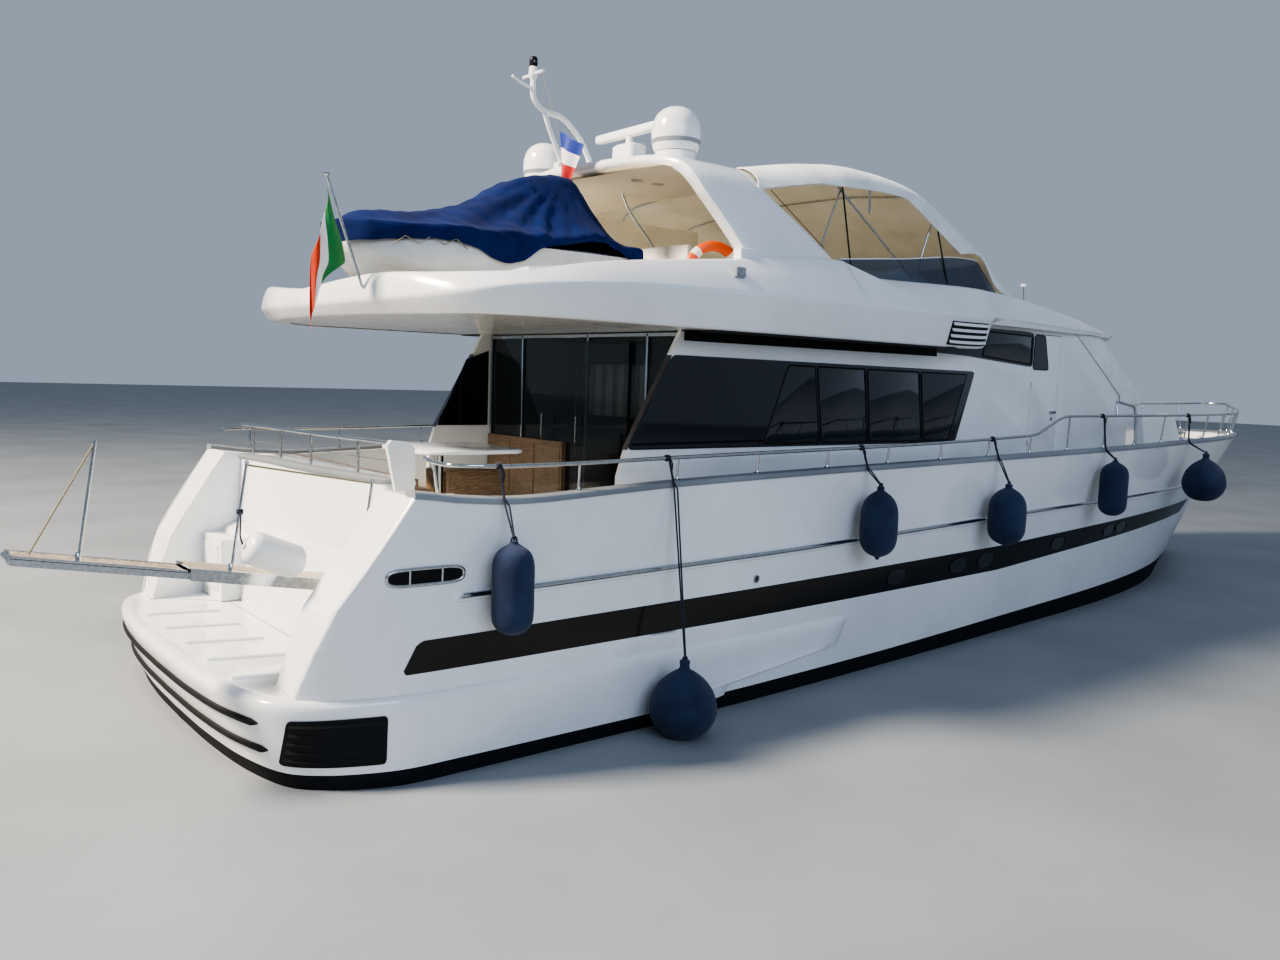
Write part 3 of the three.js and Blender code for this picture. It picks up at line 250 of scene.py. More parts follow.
def piece(name, shape, finishes, body="yacht", sharp=35, stands_for=()):
    """Makes the mesh of a Shape a piece of the boat, with outward faces, materials and a body to ride on."""
    mesh = bpy.data.meshes.new(name)
    mesh.from_pydata(shape.points, [], shape.faces)
    finishes = finishes if isinstance(finishes, (list, tuple)) else [finishes]
    for finish in finishes:
        mesh.materials.append(finish)
    mesh.polygons.foreach_set("material_index", shape.marks)
    made = bmesh.new()
    made.from_mesh(mesh)
    bmesh.ops.remove_doubles(made, verts=made.verts, dist=1e-5)
    bmesh.ops.dissolve_degenerate(made, edges=made.edges, dist=1e-6)
    bmesh.ops.recalc_face_normals(made, faces=made.faces)
    made.to_mesh(mesh)
    made.free()
    mesh.shade_smooth()
    mesh.set_sharp_from_angle(angle=math.radians(sharp))
    made_object = bpy.data.objects.new(name, mesh)
    bpy.context.collection.objects.link(made_object)
    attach(made_object, body)
    if stands_for:
        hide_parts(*stands_for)
    return made_object


# %% [markdown]
# ## Tools for materials
# A material starts from its real name, and its colours are hex values as a paint chart gives them.

# %% Colours and nodes
# Each side of the boat: the sign of its y, and its name.
SIDES = ((-1, "starboard"), (1, "port"))


def colour(hex_value, alpha=1.0):
    """An sRGB hex colour as the linear numbers that Blender's sockets expect."""
    channels = [int(hex_value[i:i + 2], 16) / 255 for i in (1, 3, 5)]
    return [c / 12.92 if c <= 0.04045 else ((c + 0.055) / 1.055) ** 2.4 for c in channels] + [alpha]


def node(tree, kind, settings=None, **sockets):
    """Adds a node; a socket is given a plain value or the output of another node."""
    made = tree.nodes.new(kind)
    for key, value in (settings or {}).items():
        setattr(made, key, value)
    for key, value in sockets.items():
        socket = made.inputs[int(key[1:])] if key[0] == "i" and key[1:].isdigit() else made.inputs[
            key.replace("_", " ")]
        if isinstance(value, bpy.types.NodeSocket):
            tree.links.new(value, socket)
        else:
            socket.default_value = value
    return made


def finish(name, **sockets):
    """A new material with one Principled shader; returns the material, its tree and the shader."""
    made = bpy.data.materials.new(name)
    made.use_nodes = True
    tree = made.node_tree
    shader = tree.nodes["Principled BSDF"]
    for key, value in sockets.items():
        shader.inputs[key.replace("_", " ")].default_value = value
    return made, tree, shader


def place_of(tree, scale=(1, 1, 1)):
    """The object's own coordinates in metres, stretched by `scale`."""
    coordinates = node(tree, "ShaderNodeTexCoord")
    return node(tree, "ShaderNodeMapping", Vector=coordinates.outputs["Object"], Scale=scale).outputs[0]


def shade_between(tree, factor, dark, light, low=0.0, high=1.0):
    """Two colours mixed by a factor, which is first stretched between low and high."""
    ramp = node(tree, "ShaderNodeValToRGB", Fac=factor)
    ramp.color_ramp.elements[0].position, ramp.color_ramp.elements[1].position = low, high
    ramp.color_ramp.elements[0].color, ramp.color_ramp.elements[1].color = colour(dark), colour(light)
    return ramp.outputs[0]


def tone_with(tree, shader, *tones):
    """Colours the surface with shade_between."""
    tree.links.new(shade_between(tree, *tones), shader.inputs["Base Color"])


def noise_at(tree, where, **sockets):
    """A noise texture at the given coordinates."""
    return node(tree, "ShaderNodeTexNoise", Vector=where, **sockets)


def wear_with(tree, shader, factor, low, high):
    """Roughness that runs from low to high with a factor."""
    spread = node(tree, "ShaderNodeMapRange", Value=factor)
    spread.inputs["To Min"].default_value, spread.inputs["To Max"].default_value = low, high
    tree.links.new(spread.outputs[0], shader.inputs["Roughness"])


def raise_with(tree, shader, height, strength, distance):
    """Fine relief from a grain, as bump."""
    bump = node(tree, "ShaderNodeBump", Strength=strength, Distance=distance, Height=height)
    tree.links.new(bump.outputs[0], shader.inputs["Normal"])

# %% [markdown]
# ## Gelcoat, paint and rubber
# A yacht is moulded of glass cloth and polyester. The first layer in the mould is gelcoat, a pigmented resin
# that leaves it as glossy as the mould was polished; sun and fenders then dull it in faint clouds.

# %% Moulded and painted finishes


def gloss_finish(name, dark, light, roughness=(0.12, 0.30), cloud=0.7, coat=0.5, ripple=0.04):
    """A glossy resin or paint: two close tones in clouds, uneven polish and the slight waves of a mould."""
    made, tree, shader = finish(name, Coat_Weight=coat, Coat_Roughness=0.06, IOR=1.5)
    clouds = noise_at(tree, place_of(tree), Scale=cloud, Detail=5.0, Roughness=0.6)
    tone_with(tree, shader, clouds.outputs[0], dark, light, 0.3, 0.7)
    wear = noise_at(tree, place_of(tree, (1, 1, 4)), Scale=6.0, Detail=6.0)
    wear_with(tree, shader, wear.outputs[0], *roughness)
    waves = noise_at(tree, place_of(tree), Scale=3.5, Detail=2.0)
    raise_with(tree, shader, waves.outputs[0], ripple, 0.02)
    return made


# White polyester gelcoat, sprayed in the mould: the whole boat reads as white, yet no two panels alike.
GELCOAT = gloss_finish("white_gelcoat", "#e3e4e2", "#f1f2ef")
# Cream gelcoat inside the upper deck and on the hardtop's lining: warmer, so the shade does not go blue.
CREAM = gloss_finish("cream_gelcoat", "#d8cdb4", "#e6dcc4", roughness=(0.3, 0.5), coat=0.2)
# Black two-part polyurethane paint for the stripe: the mirror that carries the reflections of the fenders.
STRIPE = gloss_finish("black_stripe_paint", "#050607", "#0b0c0e", roughness=(0.10, 0.25), coat=0.35)
# Grey satin polyurethane on the bulwark's cap, where hands and ropes wear it dull.
CAP_GREY = gloss_finish("grey_cap_paint", "#7f8386", "#989c9f", roughness=(0.35, 0.55), coat=0.15,
                        ripple=0.08)
# Smoked acrylic, cast and bonded over the window openings: a dark mirror with hardly any brown left.
# Its two tones are the acrylic's dark, lifted to a bluish purple that is a painted reflection of the sky.
SMOKED = gloss_finish("smoked_acrylic", "#14151f", "#1f202c", roughness=(0.03, 0.10), cloud=0.3, coat=1.0,
                      ripple=0.012)
# Thinner glass of the opening panes, seen against the dim cabin: a shade lighter than the acrylic round it.
PANE = gloss_finish("window_pane", "#1f2329", "#353a41", roughness=(0.02, 0.06), cloud=0.5, coat=1.0,
                    ripple=0.01)
# Orange polyethylene of the life ring, blow-moulded, faded on its upper side.
ORANGE = gloss_finish("orange_polyethylene", "#c8461c", "#e0622c", roughness=(0.3, 0.5), coat=0.1)


def rough_finish(name, dark, light, roughness, scale, depth, detail=6.0, sheen=0.0, stretch=(1, 1, 1),
                 low=0.3, high=0.7):
    """A matt surface: two tones and a relief from the same grain."""
    made, tree, shader = finish(name, Sheen_Weight=sheen, Sheen_Roughness=0.5, Specular_IOR_Level=0.35)
    grain = noise_at(tree, place_of(tree, stretch), Scale=scale, Detail=detail, Roughness=0.65)
    tone_with(tree, shader, grain.outputs[0], dark, light, low, high)
    wear_with(tree, shader, grain.outputs[0], roughness - 0.12, min(roughness + 0.1, 1.0))
    raise_with(tree, shader, grain.outputs[0], 0.6, depth)
    return made


# Copper antifouling rolled on below the boot-top: dead matt, scrubbed paler where the boat floats.
ANTIFOUL = rough_finish("black_antifouling", "#0c0d0f", "#24272b", 0.8, 9.0, 0.004, stretch=(1, 1, 5))
# Extruded black rubber of the rubbing strips, slightly bloomed with age.
RUBBER = rough_finish("black_rubber", "#101112", "#1f2123", 0.62, 60.0, 0.001)
# Black ASA plastic for grilles, seals and straps' buckles: fine spark-eroded grain.
BLACK_PLASTIC = rough_finish("black_plastic", "#0e0f10", "#1a1b1d", 0.5, 240.0, 0.0006)
# Hypalon, the synthetic rubber cloth of inflatable tubes, light grey and chalky.
HYPALON = rough_finish("grey_hypalon", "#c8cac8", "#d8d9d4", 0.6, 5.0, 0.0010, sheen=0.1)

# %% [markdown]
# ## Metal, glass and wood
# Marine stainless steel is drawn into tube, bent and polished with a felt wheel, which leaves fine rings
# round the tube. The windows are toughened glass with a grey tint; the cockpit joinery is varnished cherry.

# %% Metals


def metal_finish(name, dark, light, roughness, brushed=(1, 1, 1), scale=40.0):
    """A bare metal with polishing marks that spread its highlights unevenly."""
    made, tree, shader = finish(name, Metallic=1.0)
    marks = noise_at(tree, place_of(tree, brushed), Scale=scale, Detail=4.0)
    tone_with(tree, shader, marks.outputs[0], dark, light, 0.25, 0.75)
    wear_with(tree, shader, marks.outputs[0], *roughness)
    raise_with(tree, shader, marks.outputs[0], 0.15, 0.001)
    return made


# Polished 316 stainless: near-white reflections broken by dark bands of whatever stands around.
STEEL = metal_finish("polished_stainless", "#aeb3b6", "#d6dadb", (0.06, 0.2))
# Manganese bronze of the propellers and rudders, ground and buffed after casting.
BRONZE = metal_finish("manganese_bronze", "#8a6a34", "#b08d4c", (0.25, 0.45), scale=25.0)

# %% Glass and wood


def glass_finish(name, tint, clarity, roughness=0.02):
    """Toughened glass seen as a dark tint; faint wiping marks keep it from looking empty."""
    made, tree, shader = finish(name, Transmission_Weight=clarity, IOR=1.45, Base_Color=colour(tint))
    smears = noise_at(tree, place_of(tree, (1, 1, 3)), Scale=5.0, Detail=5.0)
    wear_with(tree, shader, smears.outputs[0], roughness, roughness + 0.06)
    raise_with(tree, shader, smears.outputs[0], 0.03, 0.01)
    return made


# Grey-tinted toughened glass of the cockpit doors: lets the curtains behind it show.
TINTED = glass_finish("grey_tinted_glass", "#6f7a80", 0.85)
# Bronze-tinted bent acrylic of the upper windscreen: pale enough to see the tubes behind.
FLY_TINT = glass_finish("pale_tinted_acrylic", "#8391a6", 0.85, roughness=0.04)


def wood_finish(name, dark, light):
    """Varnished wood: stretched rings of growth under a clear coat."""
    made, tree, shader = finish(name, Coat_Weight=0.6, Coat_Roughness=0.08)
    rings = noise_at(tree, place_of(tree, (1.2, 1.2, 9)), Scale=5.0, Detail=8.0, Distortion=1.6)
    tone_with(tree, shader, rings.outputs[0], dark, light, 0.35, 0.68)
    wear_with(tree, shader, rings.outputs[0], 0.25, 0.45)
    return made


# Cherry veneer on marine plywood, varnished, for the cockpit's lockers.
CHERRY = wood_finish("varnished_cherry", "#7a6046", "#a38869")
# Oiled teak slats, silvered by salt, for the gangway.
TEAK = wood_finish("weathered_teak", "#a39176", "#cdbd9f")

# %% [markdown]
# ## Cloth and rope
# Covers at sea are solution-dyed acrylic, woven so tightly that rain beads on it. The true thread is a
# third of a millimetre; it is drawn five times coarser here, or it would vanish at this distance.

# %% Cloth and rope
WEAVE_MM = 1.8


def cloth_finish(name, dark, light, sheen=0.25, weave_mm=WEAVE_MM, dirt="#8a8578", dirt_share=0.12,
                 painted_glow=0.0):
    """Woven cloth: fine weave, blotches of weather, a soft edge and a painted glow that stands for daylight
    coming through.
    """
    made, tree, shader = finish(name, Sheen_Weight=sheen, Sheen_Roughness=0.6, Specular_IOR_Level=0.2)
    place = place_of(tree)
    blotches = noise_at(tree, place, Scale=2.2, Detail=7.0, Roughness=0.62)
    clean = shade_between(tree, blotches.outputs[0], dark, light, 0.32, 0.66)
    stains = noise_at(tree, place_of(tree, (1, 1, 0.35)), Scale=5.0, Detail=8.0)
    where = node(tree, "ShaderNodeMapRange", Value=stains.outputs[0])
    where.inputs["From Min"].default_value, where.inputs["From Max"].default_value = 0.52, 0.8
    where.inputs["To Max"].default_value = dirt_share
    mixed = node(tree, "ShaderNodeMix", {"data_type": "RGBA"}, Factor=where.outputs[0], i6=clean,
                 i7=colour(dirt))
    tree.links.new(mixed.outputs[2], shader.inputs["Base Color"])
    # With a glow above zero the cloth shines in its own colour: painted light for daylight coming through it.
    tree.links.new(mixed.outputs[2], shader.inputs["Emission Color"])
    shader.inputs["Emission Strength"].default_value = painted_glow
    weave = node(tree, "ShaderNodeTexVoronoi", Vector=place, Scale=1000.0 / weave_mm / 4)
    wear_with(tree, shader, blotches.outputs[0], 0.78, 0.95)
    bump = node(tree, "ShaderNodeBump", Strength=0.35, Distance=0.0012, Height=weave.outputs[0])
    creases = noise_at(tree, place, Scale=9.0, Detail=4.0, Distortion=0.6)
    folded = node(tree, "ShaderNodeBump", Strength=0.25, Distance=0.012, Height=creases.outputs[0],
                  Normal=bump.outputs[0])
    tree.links.new(folded.outputs[0], shader.inputs["Normal"])
    return made


# White acrylic canvas of the canopy and the windscreen's cover, greyed by rain along its seams.
WHITE_CANVAS = cloth_finish("white_acrylic_canvas", "#d9dad6", "#eceeea")
# Cream acrylic of the canopy's inner side, kept clean by the shade. Its glow is painted light: it stands for
# the sun shining through the canvas.
TAN_CANVAS = cloth_finish("cream_acrylic_canvas", "#d9cdb0", "#e8dec6", dirt_share=0.05, painted_glow=0.14)
# Navy acrylic of the tender's cover: bleached a little on the ridge, near black in its folds.
BLUE_CANVAS = cloth_finish("navy_acrylic_canvas", "#0a1a48", "#142c66", sheen=0.05, dirt="#2b3f74",
                           dirt_share=0.08)
# Navy knitted polyester sleeves that keep the fenders from squeaking.
FLEECE = cloth_finish("navy_fender_fleece", "#283349", "#3a4761", sheen=0.15, weave_mm=9.0, dirt="#4d5970")
# White vinyl of the one bare fender, blown in a mould and barely scuffed.
FENDER_VINYL = gloss_finish("white_fender_vinyl", "#dfe0dc", "#f0f0ec", roughness=(0.3, 0.5), coat=0.1,
                            ripple=0.1)


def rope_finish(name, dark, light):
    """Braided polyester: slanting strands as tone and relief."""
    made, tree, shader = finish(name, Roughness=0.8, Sheen_Weight=0.3, Sheen_Roughness=0.5)
    strands = node(tree, "ShaderNodeTexWave", {"bands_direction": "DIAGONAL"}, Vector=place_of(tree),
                   Scale=28.0, Distortion=3.0, Detail=2.0)
    tone_with(tree, shader, strands.outputs[1], dark, light, 0.1, 0.8)
    raise_with(tree, shader, strands.outputs[1], 0.7, 0.003)
    return made


# Braided polyester cord: cream for the gangway's handrail, dark blue for the fenders' lanyards.
CREAM_ROPE = rope_finish("cream_braided_rope", "#84795c", "#b8ac88")
DARK_ROPE = rope_finish("dark_braided_rope", "#15181d", "#3a4150")

# %% [markdown]
# ## Flags
# Bunting is knitted polyester, printed or sewn from bands. Each band is found from the flag's own UV, so it
# follows the cloth through every fold.

# %% Flag cloth


def flag_finish(name, bands):
    """Knitted bunting in bands across the fly: [share of the fly, hex]."""
    made, tree, shader = finish(name, Roughness=0.85, Sheen_Weight=0.3, Sheen_Roughness=0.5,
                                Subsurface_Weight=0.05)
    across = node(tree, "ShaderNodeSeparateXYZ",
                  Vector=node(tree, "ShaderNodeUVMap", {"uv_map": "fly"}).outputs[0])
    ramp = node(tree, "ShaderNodeValToRGB", Fac=across.outputs[0])
    ramp.color_ramp.interpolation = "CONSTANT"
    while len(ramp.color_ramp.elements) < len(bands):
        ramp.color_ramp.elements.new(0.5)
    for element, (share, hex_value) in zip(ramp.color_ramp.elements, bands):
        element.position, element.color = share, colour(hex_value)
    soil = noise_at(tree, place_of(tree), Scale=14.0, Detail=5.0)
    dull = node(tree, "ShaderNodeMapRange", Value=soil.outputs[0])
    dull.inputs["To Min"].default_value, dull.inputs["To Max"].default_value = 0.75, 1.05
    toned = node(tree, "ShaderNodeHueSaturation", Color=ramp.outputs[0], Value=dull.outputs[0])
    tree.links.new(toned.outputs[0], shader.inputs["Base Color"])
    knit = node(tree, "ShaderNodeTexVoronoi", Vector=place_of(tree), Scale=260.0)
    raise_with(tree, shader, knit.outputs[0], 0.3, 0.001)
    return made


ENSIGN_CLOTH = flag_finish("ensign_bunting", [(0.0, "#2e8a4c"), (0.345, "#e9ebe8"), (0.64, "#d1492c")])
PENNANT_CLOTH = flag_finish("courtesy_bunting", [(0.0, "#27439a"), (0.33, "#e8e9e8"), (0.66, "#c33534")])
print(len(bpy.data.materials), "materials")

# %% [markdown]
# ## Hull
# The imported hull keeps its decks, its wings and everything under water. Over its sides lies a smooth skin,
# fair along the length as a real mould is, with its edges along the lines where trim or paint changes.

# %% The lines of the hull
WATER_PLAN = eased([[-10.75, 2.2], [-10.6, 2.34], [-10.4, 2.45], [-10.2, 2.53], [-10, 2.585], [-9.6, 2.6],
                    [-8.5, 2.6], [-6.6, 2.6],
                    [-5.2, 2.55], [-3.8, 2.47], [-2.4, 2.38], [-0.6, 2.25], [1.4, 2.1], [2.9, 1.94],
                    [4.5, 1.66], [5.8, 1.28],
                    [7.2, 0.7], [8.0, 0.36], [8.8, 0.04]])
DECK_TABLE = [[-10.95, 2.5], [-10.7, 2.585], [-10.3, 2.65], [-9.6, 2.68], [-9, 2.7], [0, 2.7], [2, 2.69],
              [3.5, 2.62], [5, 2.47],
              [6.5, 2.19], [7.5, 1.88], [8.5, 1.49], [9.5, 1.03], [10.4, 0.56], [11, 0.22], [11.3, 0.04]]
DECK_PLAN = eased(DECK_TABLE)
CAP_TABLE = [[-10.95, 2.36], [-9.98, 2.34], [-9.6, 2.29], [-9, 2.255], [-8, 2.295], [-7.2, 2.33],
             [-2, 2.44], [1, 2.5],
             [4.3, 2.57], [8, 2.6], [11.3, 2.52]]
CAP_LINE = eased(CAP_TABLE)
LINES = {"water": [[0, 0]], "boot": [[-10.75, 0.13], [-3.6, 0.18], [1, 0.26], [10, 0.42]],
         "belt": [[-10.75, 0.745], [-4.4, 0.745], [10, 0.9]],
         "stripe_low": [[-10.75, 0.9], [-5.5, 0.915], [-1.3, 0.93], [5.3, 1.27], [10.5, 1.5]],
         "stripe_high": [[-10.75, 1.16], [-5.5, 1.22], [-1.3, 1.27], [5.4, 1.5], [10.7, 1.75]],
         "rub": [[-10.75, 1.48], [-9.6, 1.51], [-5.5, 1.58], [-1.4, 1.69], [4.9, 1.81], [11, 2.05]],
         "cap": CAP_TABLE}
# The slanted after edge of the quarters, height and place along.
WING_EDGE = [[0.76, -10.79], [1.10, -10.70], [1.41, -10.59], [1.64, -10.44], [1.90, -10.26], [2.13, -10.11],
             [2.35, -9.96], [2.5, -9.88]]


def side_place(x, z, out=0.0):
    """The point of the hull's starboard side at a place along and a height, moved outboard by `out`."""
    s = min(max(z / CAP_LINE(x), 0.0), 1.0)
    t = (x + 10.95) / 22.25
    for _ in range(8):
        t += (x - ((-10.75 + 19.55 * t) * (1 - s) + (-10.95 + 22.25 * t) * s)) / 22.25
    t = min(max(t, 0.0), 1.0)
    flare = s ** (1 + 0.45 * t)
    half = WATER_PLAN(-10.75 + 19.55 * t) * (1 - flare) + DECK_PLAN(-10.95 + 22.25 * t) * flare
    return np.array([x, -(half + out), z])


STEM = [[0.0, 8.8], [0.42, 9.22], [0.9, 9.69], [1.5, 10.28], [2.05, 10.82], [2.52, 11.3]]
HULL_STEPS = 120


def side_row(line, out=0.0, x0=None, x1=None, steps=HULL_STEPS):
    """Points along one line of the hull's starboard side, from x0 or the quarter's edge to the stem or x1."""
    table = LINES[line] if isinstance(line, str) else line
    first = read(WING_EDGE, read(table, -10.5)) if x0 is None else x0
    last = read(STEM, read(table, 10.0)) - 0.02 if x1 is None else x1
    return [side_place(x, read(table, x), out) for x in np.linspace(first, last, steps + 1)]


# %% Hull skin
SKIN_OUT = 0.008
UNDER_PLATFORM = -10.0
skin = Shape()
for low_line, high_line, mark in (("water", "boot", 1), ("boot", "belt", 0), ("belt", "stripe_low", 0),
                                  ("stripe_low", "stripe_high", 0), ("stripe_high", "rub", 0),
                                  ("rub", "cap", 0)):
    low_start, high_start = (UNDER_PLATFORM if line in ("water", "boot") or high_line == "belt" else None
                             for line in (low_line, high_line))
    low_row, high_row = side_row(low_line, 0.0, low_start), side_row(high_line, 0.0, high_start)
    between = [[a + (b - a) * k / 3 for a, b in zip(low_row, high_row)] for k in range(4)]
    rows = [[side_place(x, z, SKIN_OUT) for x, _, z in row] for row in between]
    if low_start is None:
        rows = [[row[0] + (-0.020, 0.05, 0), row[0] + (-0.017, 0.022, 0), row[0] + (-0.007, 0.006, 0), *row]
                for row in rows]
    skin.shell(rows[::-1], 0.012, mark)
skin.mirrored()
piece("hull_skin", skin, [GELCOAT, ANTIFOUL], sharp=28)


def hull_finish():
    """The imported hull's own finish: antifouling below, gelcoat above, and a non-slip pattern on the decks."""
    made, tree, shader = finish("hull_and_decks", Coat_Weight=0.3, Coat_Roughness=0.1)
    place = place_of(tree)
    height = node(tree, "ShaderNodeSeparateXYZ", Vector=place).outputs[2]
    wet = node(tree, "ShaderNodeMath", {"operation": "LESS_THAN"}, i0=height, i1=0.15)
    facing = node(tree, "ShaderNodeSeparateXYZ",
                  Vector=node(tree, "ShaderNodeNewGeometry").outputs["Normal"]).outputs[2]
    deck = node(tree, "ShaderNodeMath", {"operation": "GREATER_THAN"}, i0=facing, i1=0.95)
    clouds = noise_at(tree, place, Scale=0.8, Detail=5.0)
    white = shade_between(tree, clouds.outputs[0], "#e3e4e2", "#f1f2ef", 0.3, 0.7)
    diamonds = node(tree, "ShaderNodeTexVoronoi", {"distance": "CHEBYCHEV"}, Vector=place, Scale=70.0)
    sand = shade_between(tree, diamonds.outputs[0], "#c4c4bd", "#dcdcd4", 0.1, 0.6)
    upper = node(tree, "ShaderNodeMix", {"data_type": "RGBA"}, Factor=deck.outputs[0], i6=white, i7=sand)
    full = node(tree, "ShaderNodeMix", {"data_type": "RGBA"}, Factor=wet.outputs[0], i6=upper.outputs[2],
                i7=colour("#14161a"))
    tree.links.new(full.outputs[2], shader.inputs["Base Color"])
    rough = node(tree, "ShaderNodeMath", {"operation": "ADD"}, i0=0.25, i1=node(
        tree, "ShaderNodeMath", {"operation": "MULTIPLY"}, i0=deck.outputs[0], i1=0.4).outputs[0])
    tree.links.new(rough.outputs[0], shader.inputs["Roughness"])
    relief = node(tree, "ShaderNodeMath", {"operation": "MULTIPLY"}, i0=deck.outputs[0],
                  i1=diamonds.outputs[0])
    raise_with(tree, shader, relief.outputs[0], 0.5, 0.002)
    return made


def dress(names, material):
    """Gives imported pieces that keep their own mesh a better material."""
    for name in names:
        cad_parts[name].data.materials.clear()
        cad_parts[name].data.materials.append(material)


dress(("hull", "topside_starboard", "topside_port", "bow_deck"), hull_finish())

# %% [markdown]
# ## Stripe, portholes and rub rail
# The dark stripe is masked and painted. It makes the row of oval portholes disappear; their black
# rims and glass catch the light only from near. The rub rail is a half-round of stainless steel on a
# moulded ledge, screwed on where the boat is beamiest.

# %% Stripe and portholes
STRIPE_AFT, STRIPE_FORE = (-10.05, -9.91), (5.3, 5.52)
stripe_rows = []
for share in (0, 0.04, 0.14, 0.38, 0.62, 0.86, 0.96, 1):
    table = [[x, read(LINES["stripe_low"], x) * (1 - share) + read(LINES["stripe_high"], x) * share]
             for x in (-10.75, -5.5, -1.3, 5.35, 10.6)]
    corner = 0.05 * max(0.0, 1 - min(share, 1 - share) / 0.14) ** 2
    stripe_rows.append(side_row(table, 0.0105, STRIPE_AFT[0] * (1 - share) + STRIPE_AFT[1] * share + corner,
                                STRIPE_FORE[0] * (1 - share) + STRIPE_FORE[1] * share - corner, 90))
stripe = Shape()
stripe.shell(stripe_rows[::-1], 0.005)
piece("side_stripe", stripe.mirrored(), STRIPE, sharp=40)

PORTHOLES = [-3.65, -2.32, -1.67, 0.27, 1.89, 2.33]
ports = Shape()
for px in PORTHOLES:
    middle = 0.5 * (read(LINES["stripe_low"], px) + read(LINES["stripe_high"], px))
    oval = [(0.20 * math.copysign(abs(math.cos(a)) ** 0.7, math.cos(a)),
             0.085 * math.copysign(abs(math.sin(a)) ** 0.8, math.sin(a)))
            for a in (2 * math.pi * k / 28 for k in range(28))]
    ports.bar([side_place(px + dx, middle + dz, 0.013) for dx, dz in oval], 0.008, 8, mark=2, loop=True)
    ports.grid([[side_place(px + dx * s, middle + dz * s, 0.0125) for dx, dz in oval] for s in (1.0, 0.02)],
               around=True, ends=True, mark=1)
for px, pz in ((-6.11, 1.31), (-8.6, 0.62)):
    ring = [(0.035 * math.cos(a), 0.035 * math.sin(a)) for a in (2 * math.pi * k / 20 for k in range(20))]
    ports.bar([side_place(px + dx, pz + dz, 0.012) for dx, dz in ring], 0.008, 8, mark=0, loop=True)
    ports.grid([[side_place(px + dx * s, pz + dz * s, 0.011) for dx, dz in ring] for s in (1.0, 0.02)],
               around=True, ends=True, mark=1)
piece("portholes", ports.mirrored(), [STEEL, SMOKED, STRIPE], sharp=40)

# %% Rub rail and cap rail
rub = Shape()
ledge = [(0.0, -0.055), (0.028, -0.045), (0.036, -0.01), (0.036, 0.012), (0.02, 0.03), (0.0, 0.04)]
steel_bead = [(0.030, -0.024), (0.048, -0.018), (0.056, 0.0), (0.048, 0.018), (0.030, 0.024)]
rub_path = side_row("rub", 0.0, x0=-9.60, x1=10.6)
for section, mark in ((ledge, 0), (steel_bead, 1)):
    rows = [[p + np.array([0, -out, up]) for out, up in section] for p in rub_path]
    rows[0] = [p + np.array([(up + 0.055) * 0.8, 0, 0]) for p, (_, up) in zip(rows[0], section)]
    rub.grid(rows, ends=True, mark=mark)
piece("rub_rail", rub.mirrored(), [GELCOAT, STEEL], sharp=50)

cap = Shape()
CAP_SECTION = [(0.018, -0.012), (0.026, 0.012), (0.02, 0.036), (0.0, 0.046), (-0.06, 0.05), (-0.12, 0.047),
               (-0.146, 0.034),
               (-0.152, 0.0)]
cap_rows = []
for x in np.linspace(-9.98, 11.28, 120):
    half, z = DECK_PLAN(x), CAP_LINE(x) + 0.0003
    cap_rows.append([(min(x, 11.28 + out * 1.2), -max(half + out, 0.004), z + up)
                     for out, up in CAP_SECTION])
cap.grid(cap_rows, ends=True)
piece("cap_rail_skin", cap.mirrored(), CAP_GREY, sharp=50, stands_for=("cap_rail",))
print("hull dressed,", len(skin.faces), "faces on its skin")

# %% [markdown]
# ## Bathing platform
# The platform is one moulding with the belt that runs forward along both sides. It rakes in towards the
# water, its upper edge is well rounded, and wedge-shaped panels stand proud of its floor so that wet feet
# do not slip. Two rubber strips guard the after edge, and a grille lets the engine room breathe.

# %% Outline of the platform and the belt
BELT_TOP, PLATFORM_RAKE = 0.745, 0.25
BELT_START = [[-0.12, -6.5], [0.24, -6.3], [0.40, -4.56], [0.735, -4.4]]
EDGE = [[-10.8, 2.4], [-11.02, 2.19], [-11.17, 1.7], [-11.25, 0.91], [-11.27, 0]]


def platform_edge(z, inset=0.0):
    """The edge of platform and belt at a height, from the belt's port end round the stern to starboard."""
    start = read(BELT_START, z)
    along = (start, start - 0.25, start - 0.7, -7.4, -8.5, -9.5, -10.0, -10.3)
    belt = [(x, -side_place(x, z)[1] + (0.043 if k else -0.02), 0) for k, x in enumerate(along)]
    rake = PLATFORM_RAKE * (1 - z / BELT_TOP)
    plan = smooth([*belt, *[(x + rake, y, 0) for x, y in EDGE]], 8)
    plan = np.vstack([plan, plan[-2::-1] * [1, -1, 1]])
    ways = np.gradient(plan, axis=0)
    out = np.stack([ways[:, 1], -ways[:, 0], 0 * ways[:, 0]], 1)
    out /= np.linalg.norm(out, axis=1, keepdims=True)
    return plan - out * inset + np.array([0, 0, z]), out


# %% Bathing platform
BOOT_TOP = 0.13
BLACK_LEVELS = [(-0.12, 0.0), (-0.04, 0.0), (0.05, 0.0), (BOOT_TOP, 0.0)]
WHITE_LEVELS = [(BOOT_TOP, 0.0), (0.24, 0.0), (0.28, 0.0), (0.32, 0.0), (0.36, 0.0), (0.40, 0.0),
                (0.48, 0.0), (0.56, 0.0), (0.63, 0.0),
                (0.675, 0.003), (0.71, 0.014), (0.735, 0.034), (0.751, 0.062), (0.760, 0.095),
                (0.762, 0.125), (0.757, 0.152), (0.748, 0.172)]
platform = Shape()
bottom = platform_edge(-0.12)[0]
platform.grid([bottom * [1, 0, 1], *[platform_edge(z, inset)[0] for z, inset in BLACK_LEVELS]], mark=1)
rim = platform_edge(*WHITE_LEVELS[-1])[0]
platform.grid([*[platform_edge(z, inset)[0] for z, inset in WHITE_LEVELS], rim * [1, 0, 1]], mark=0)
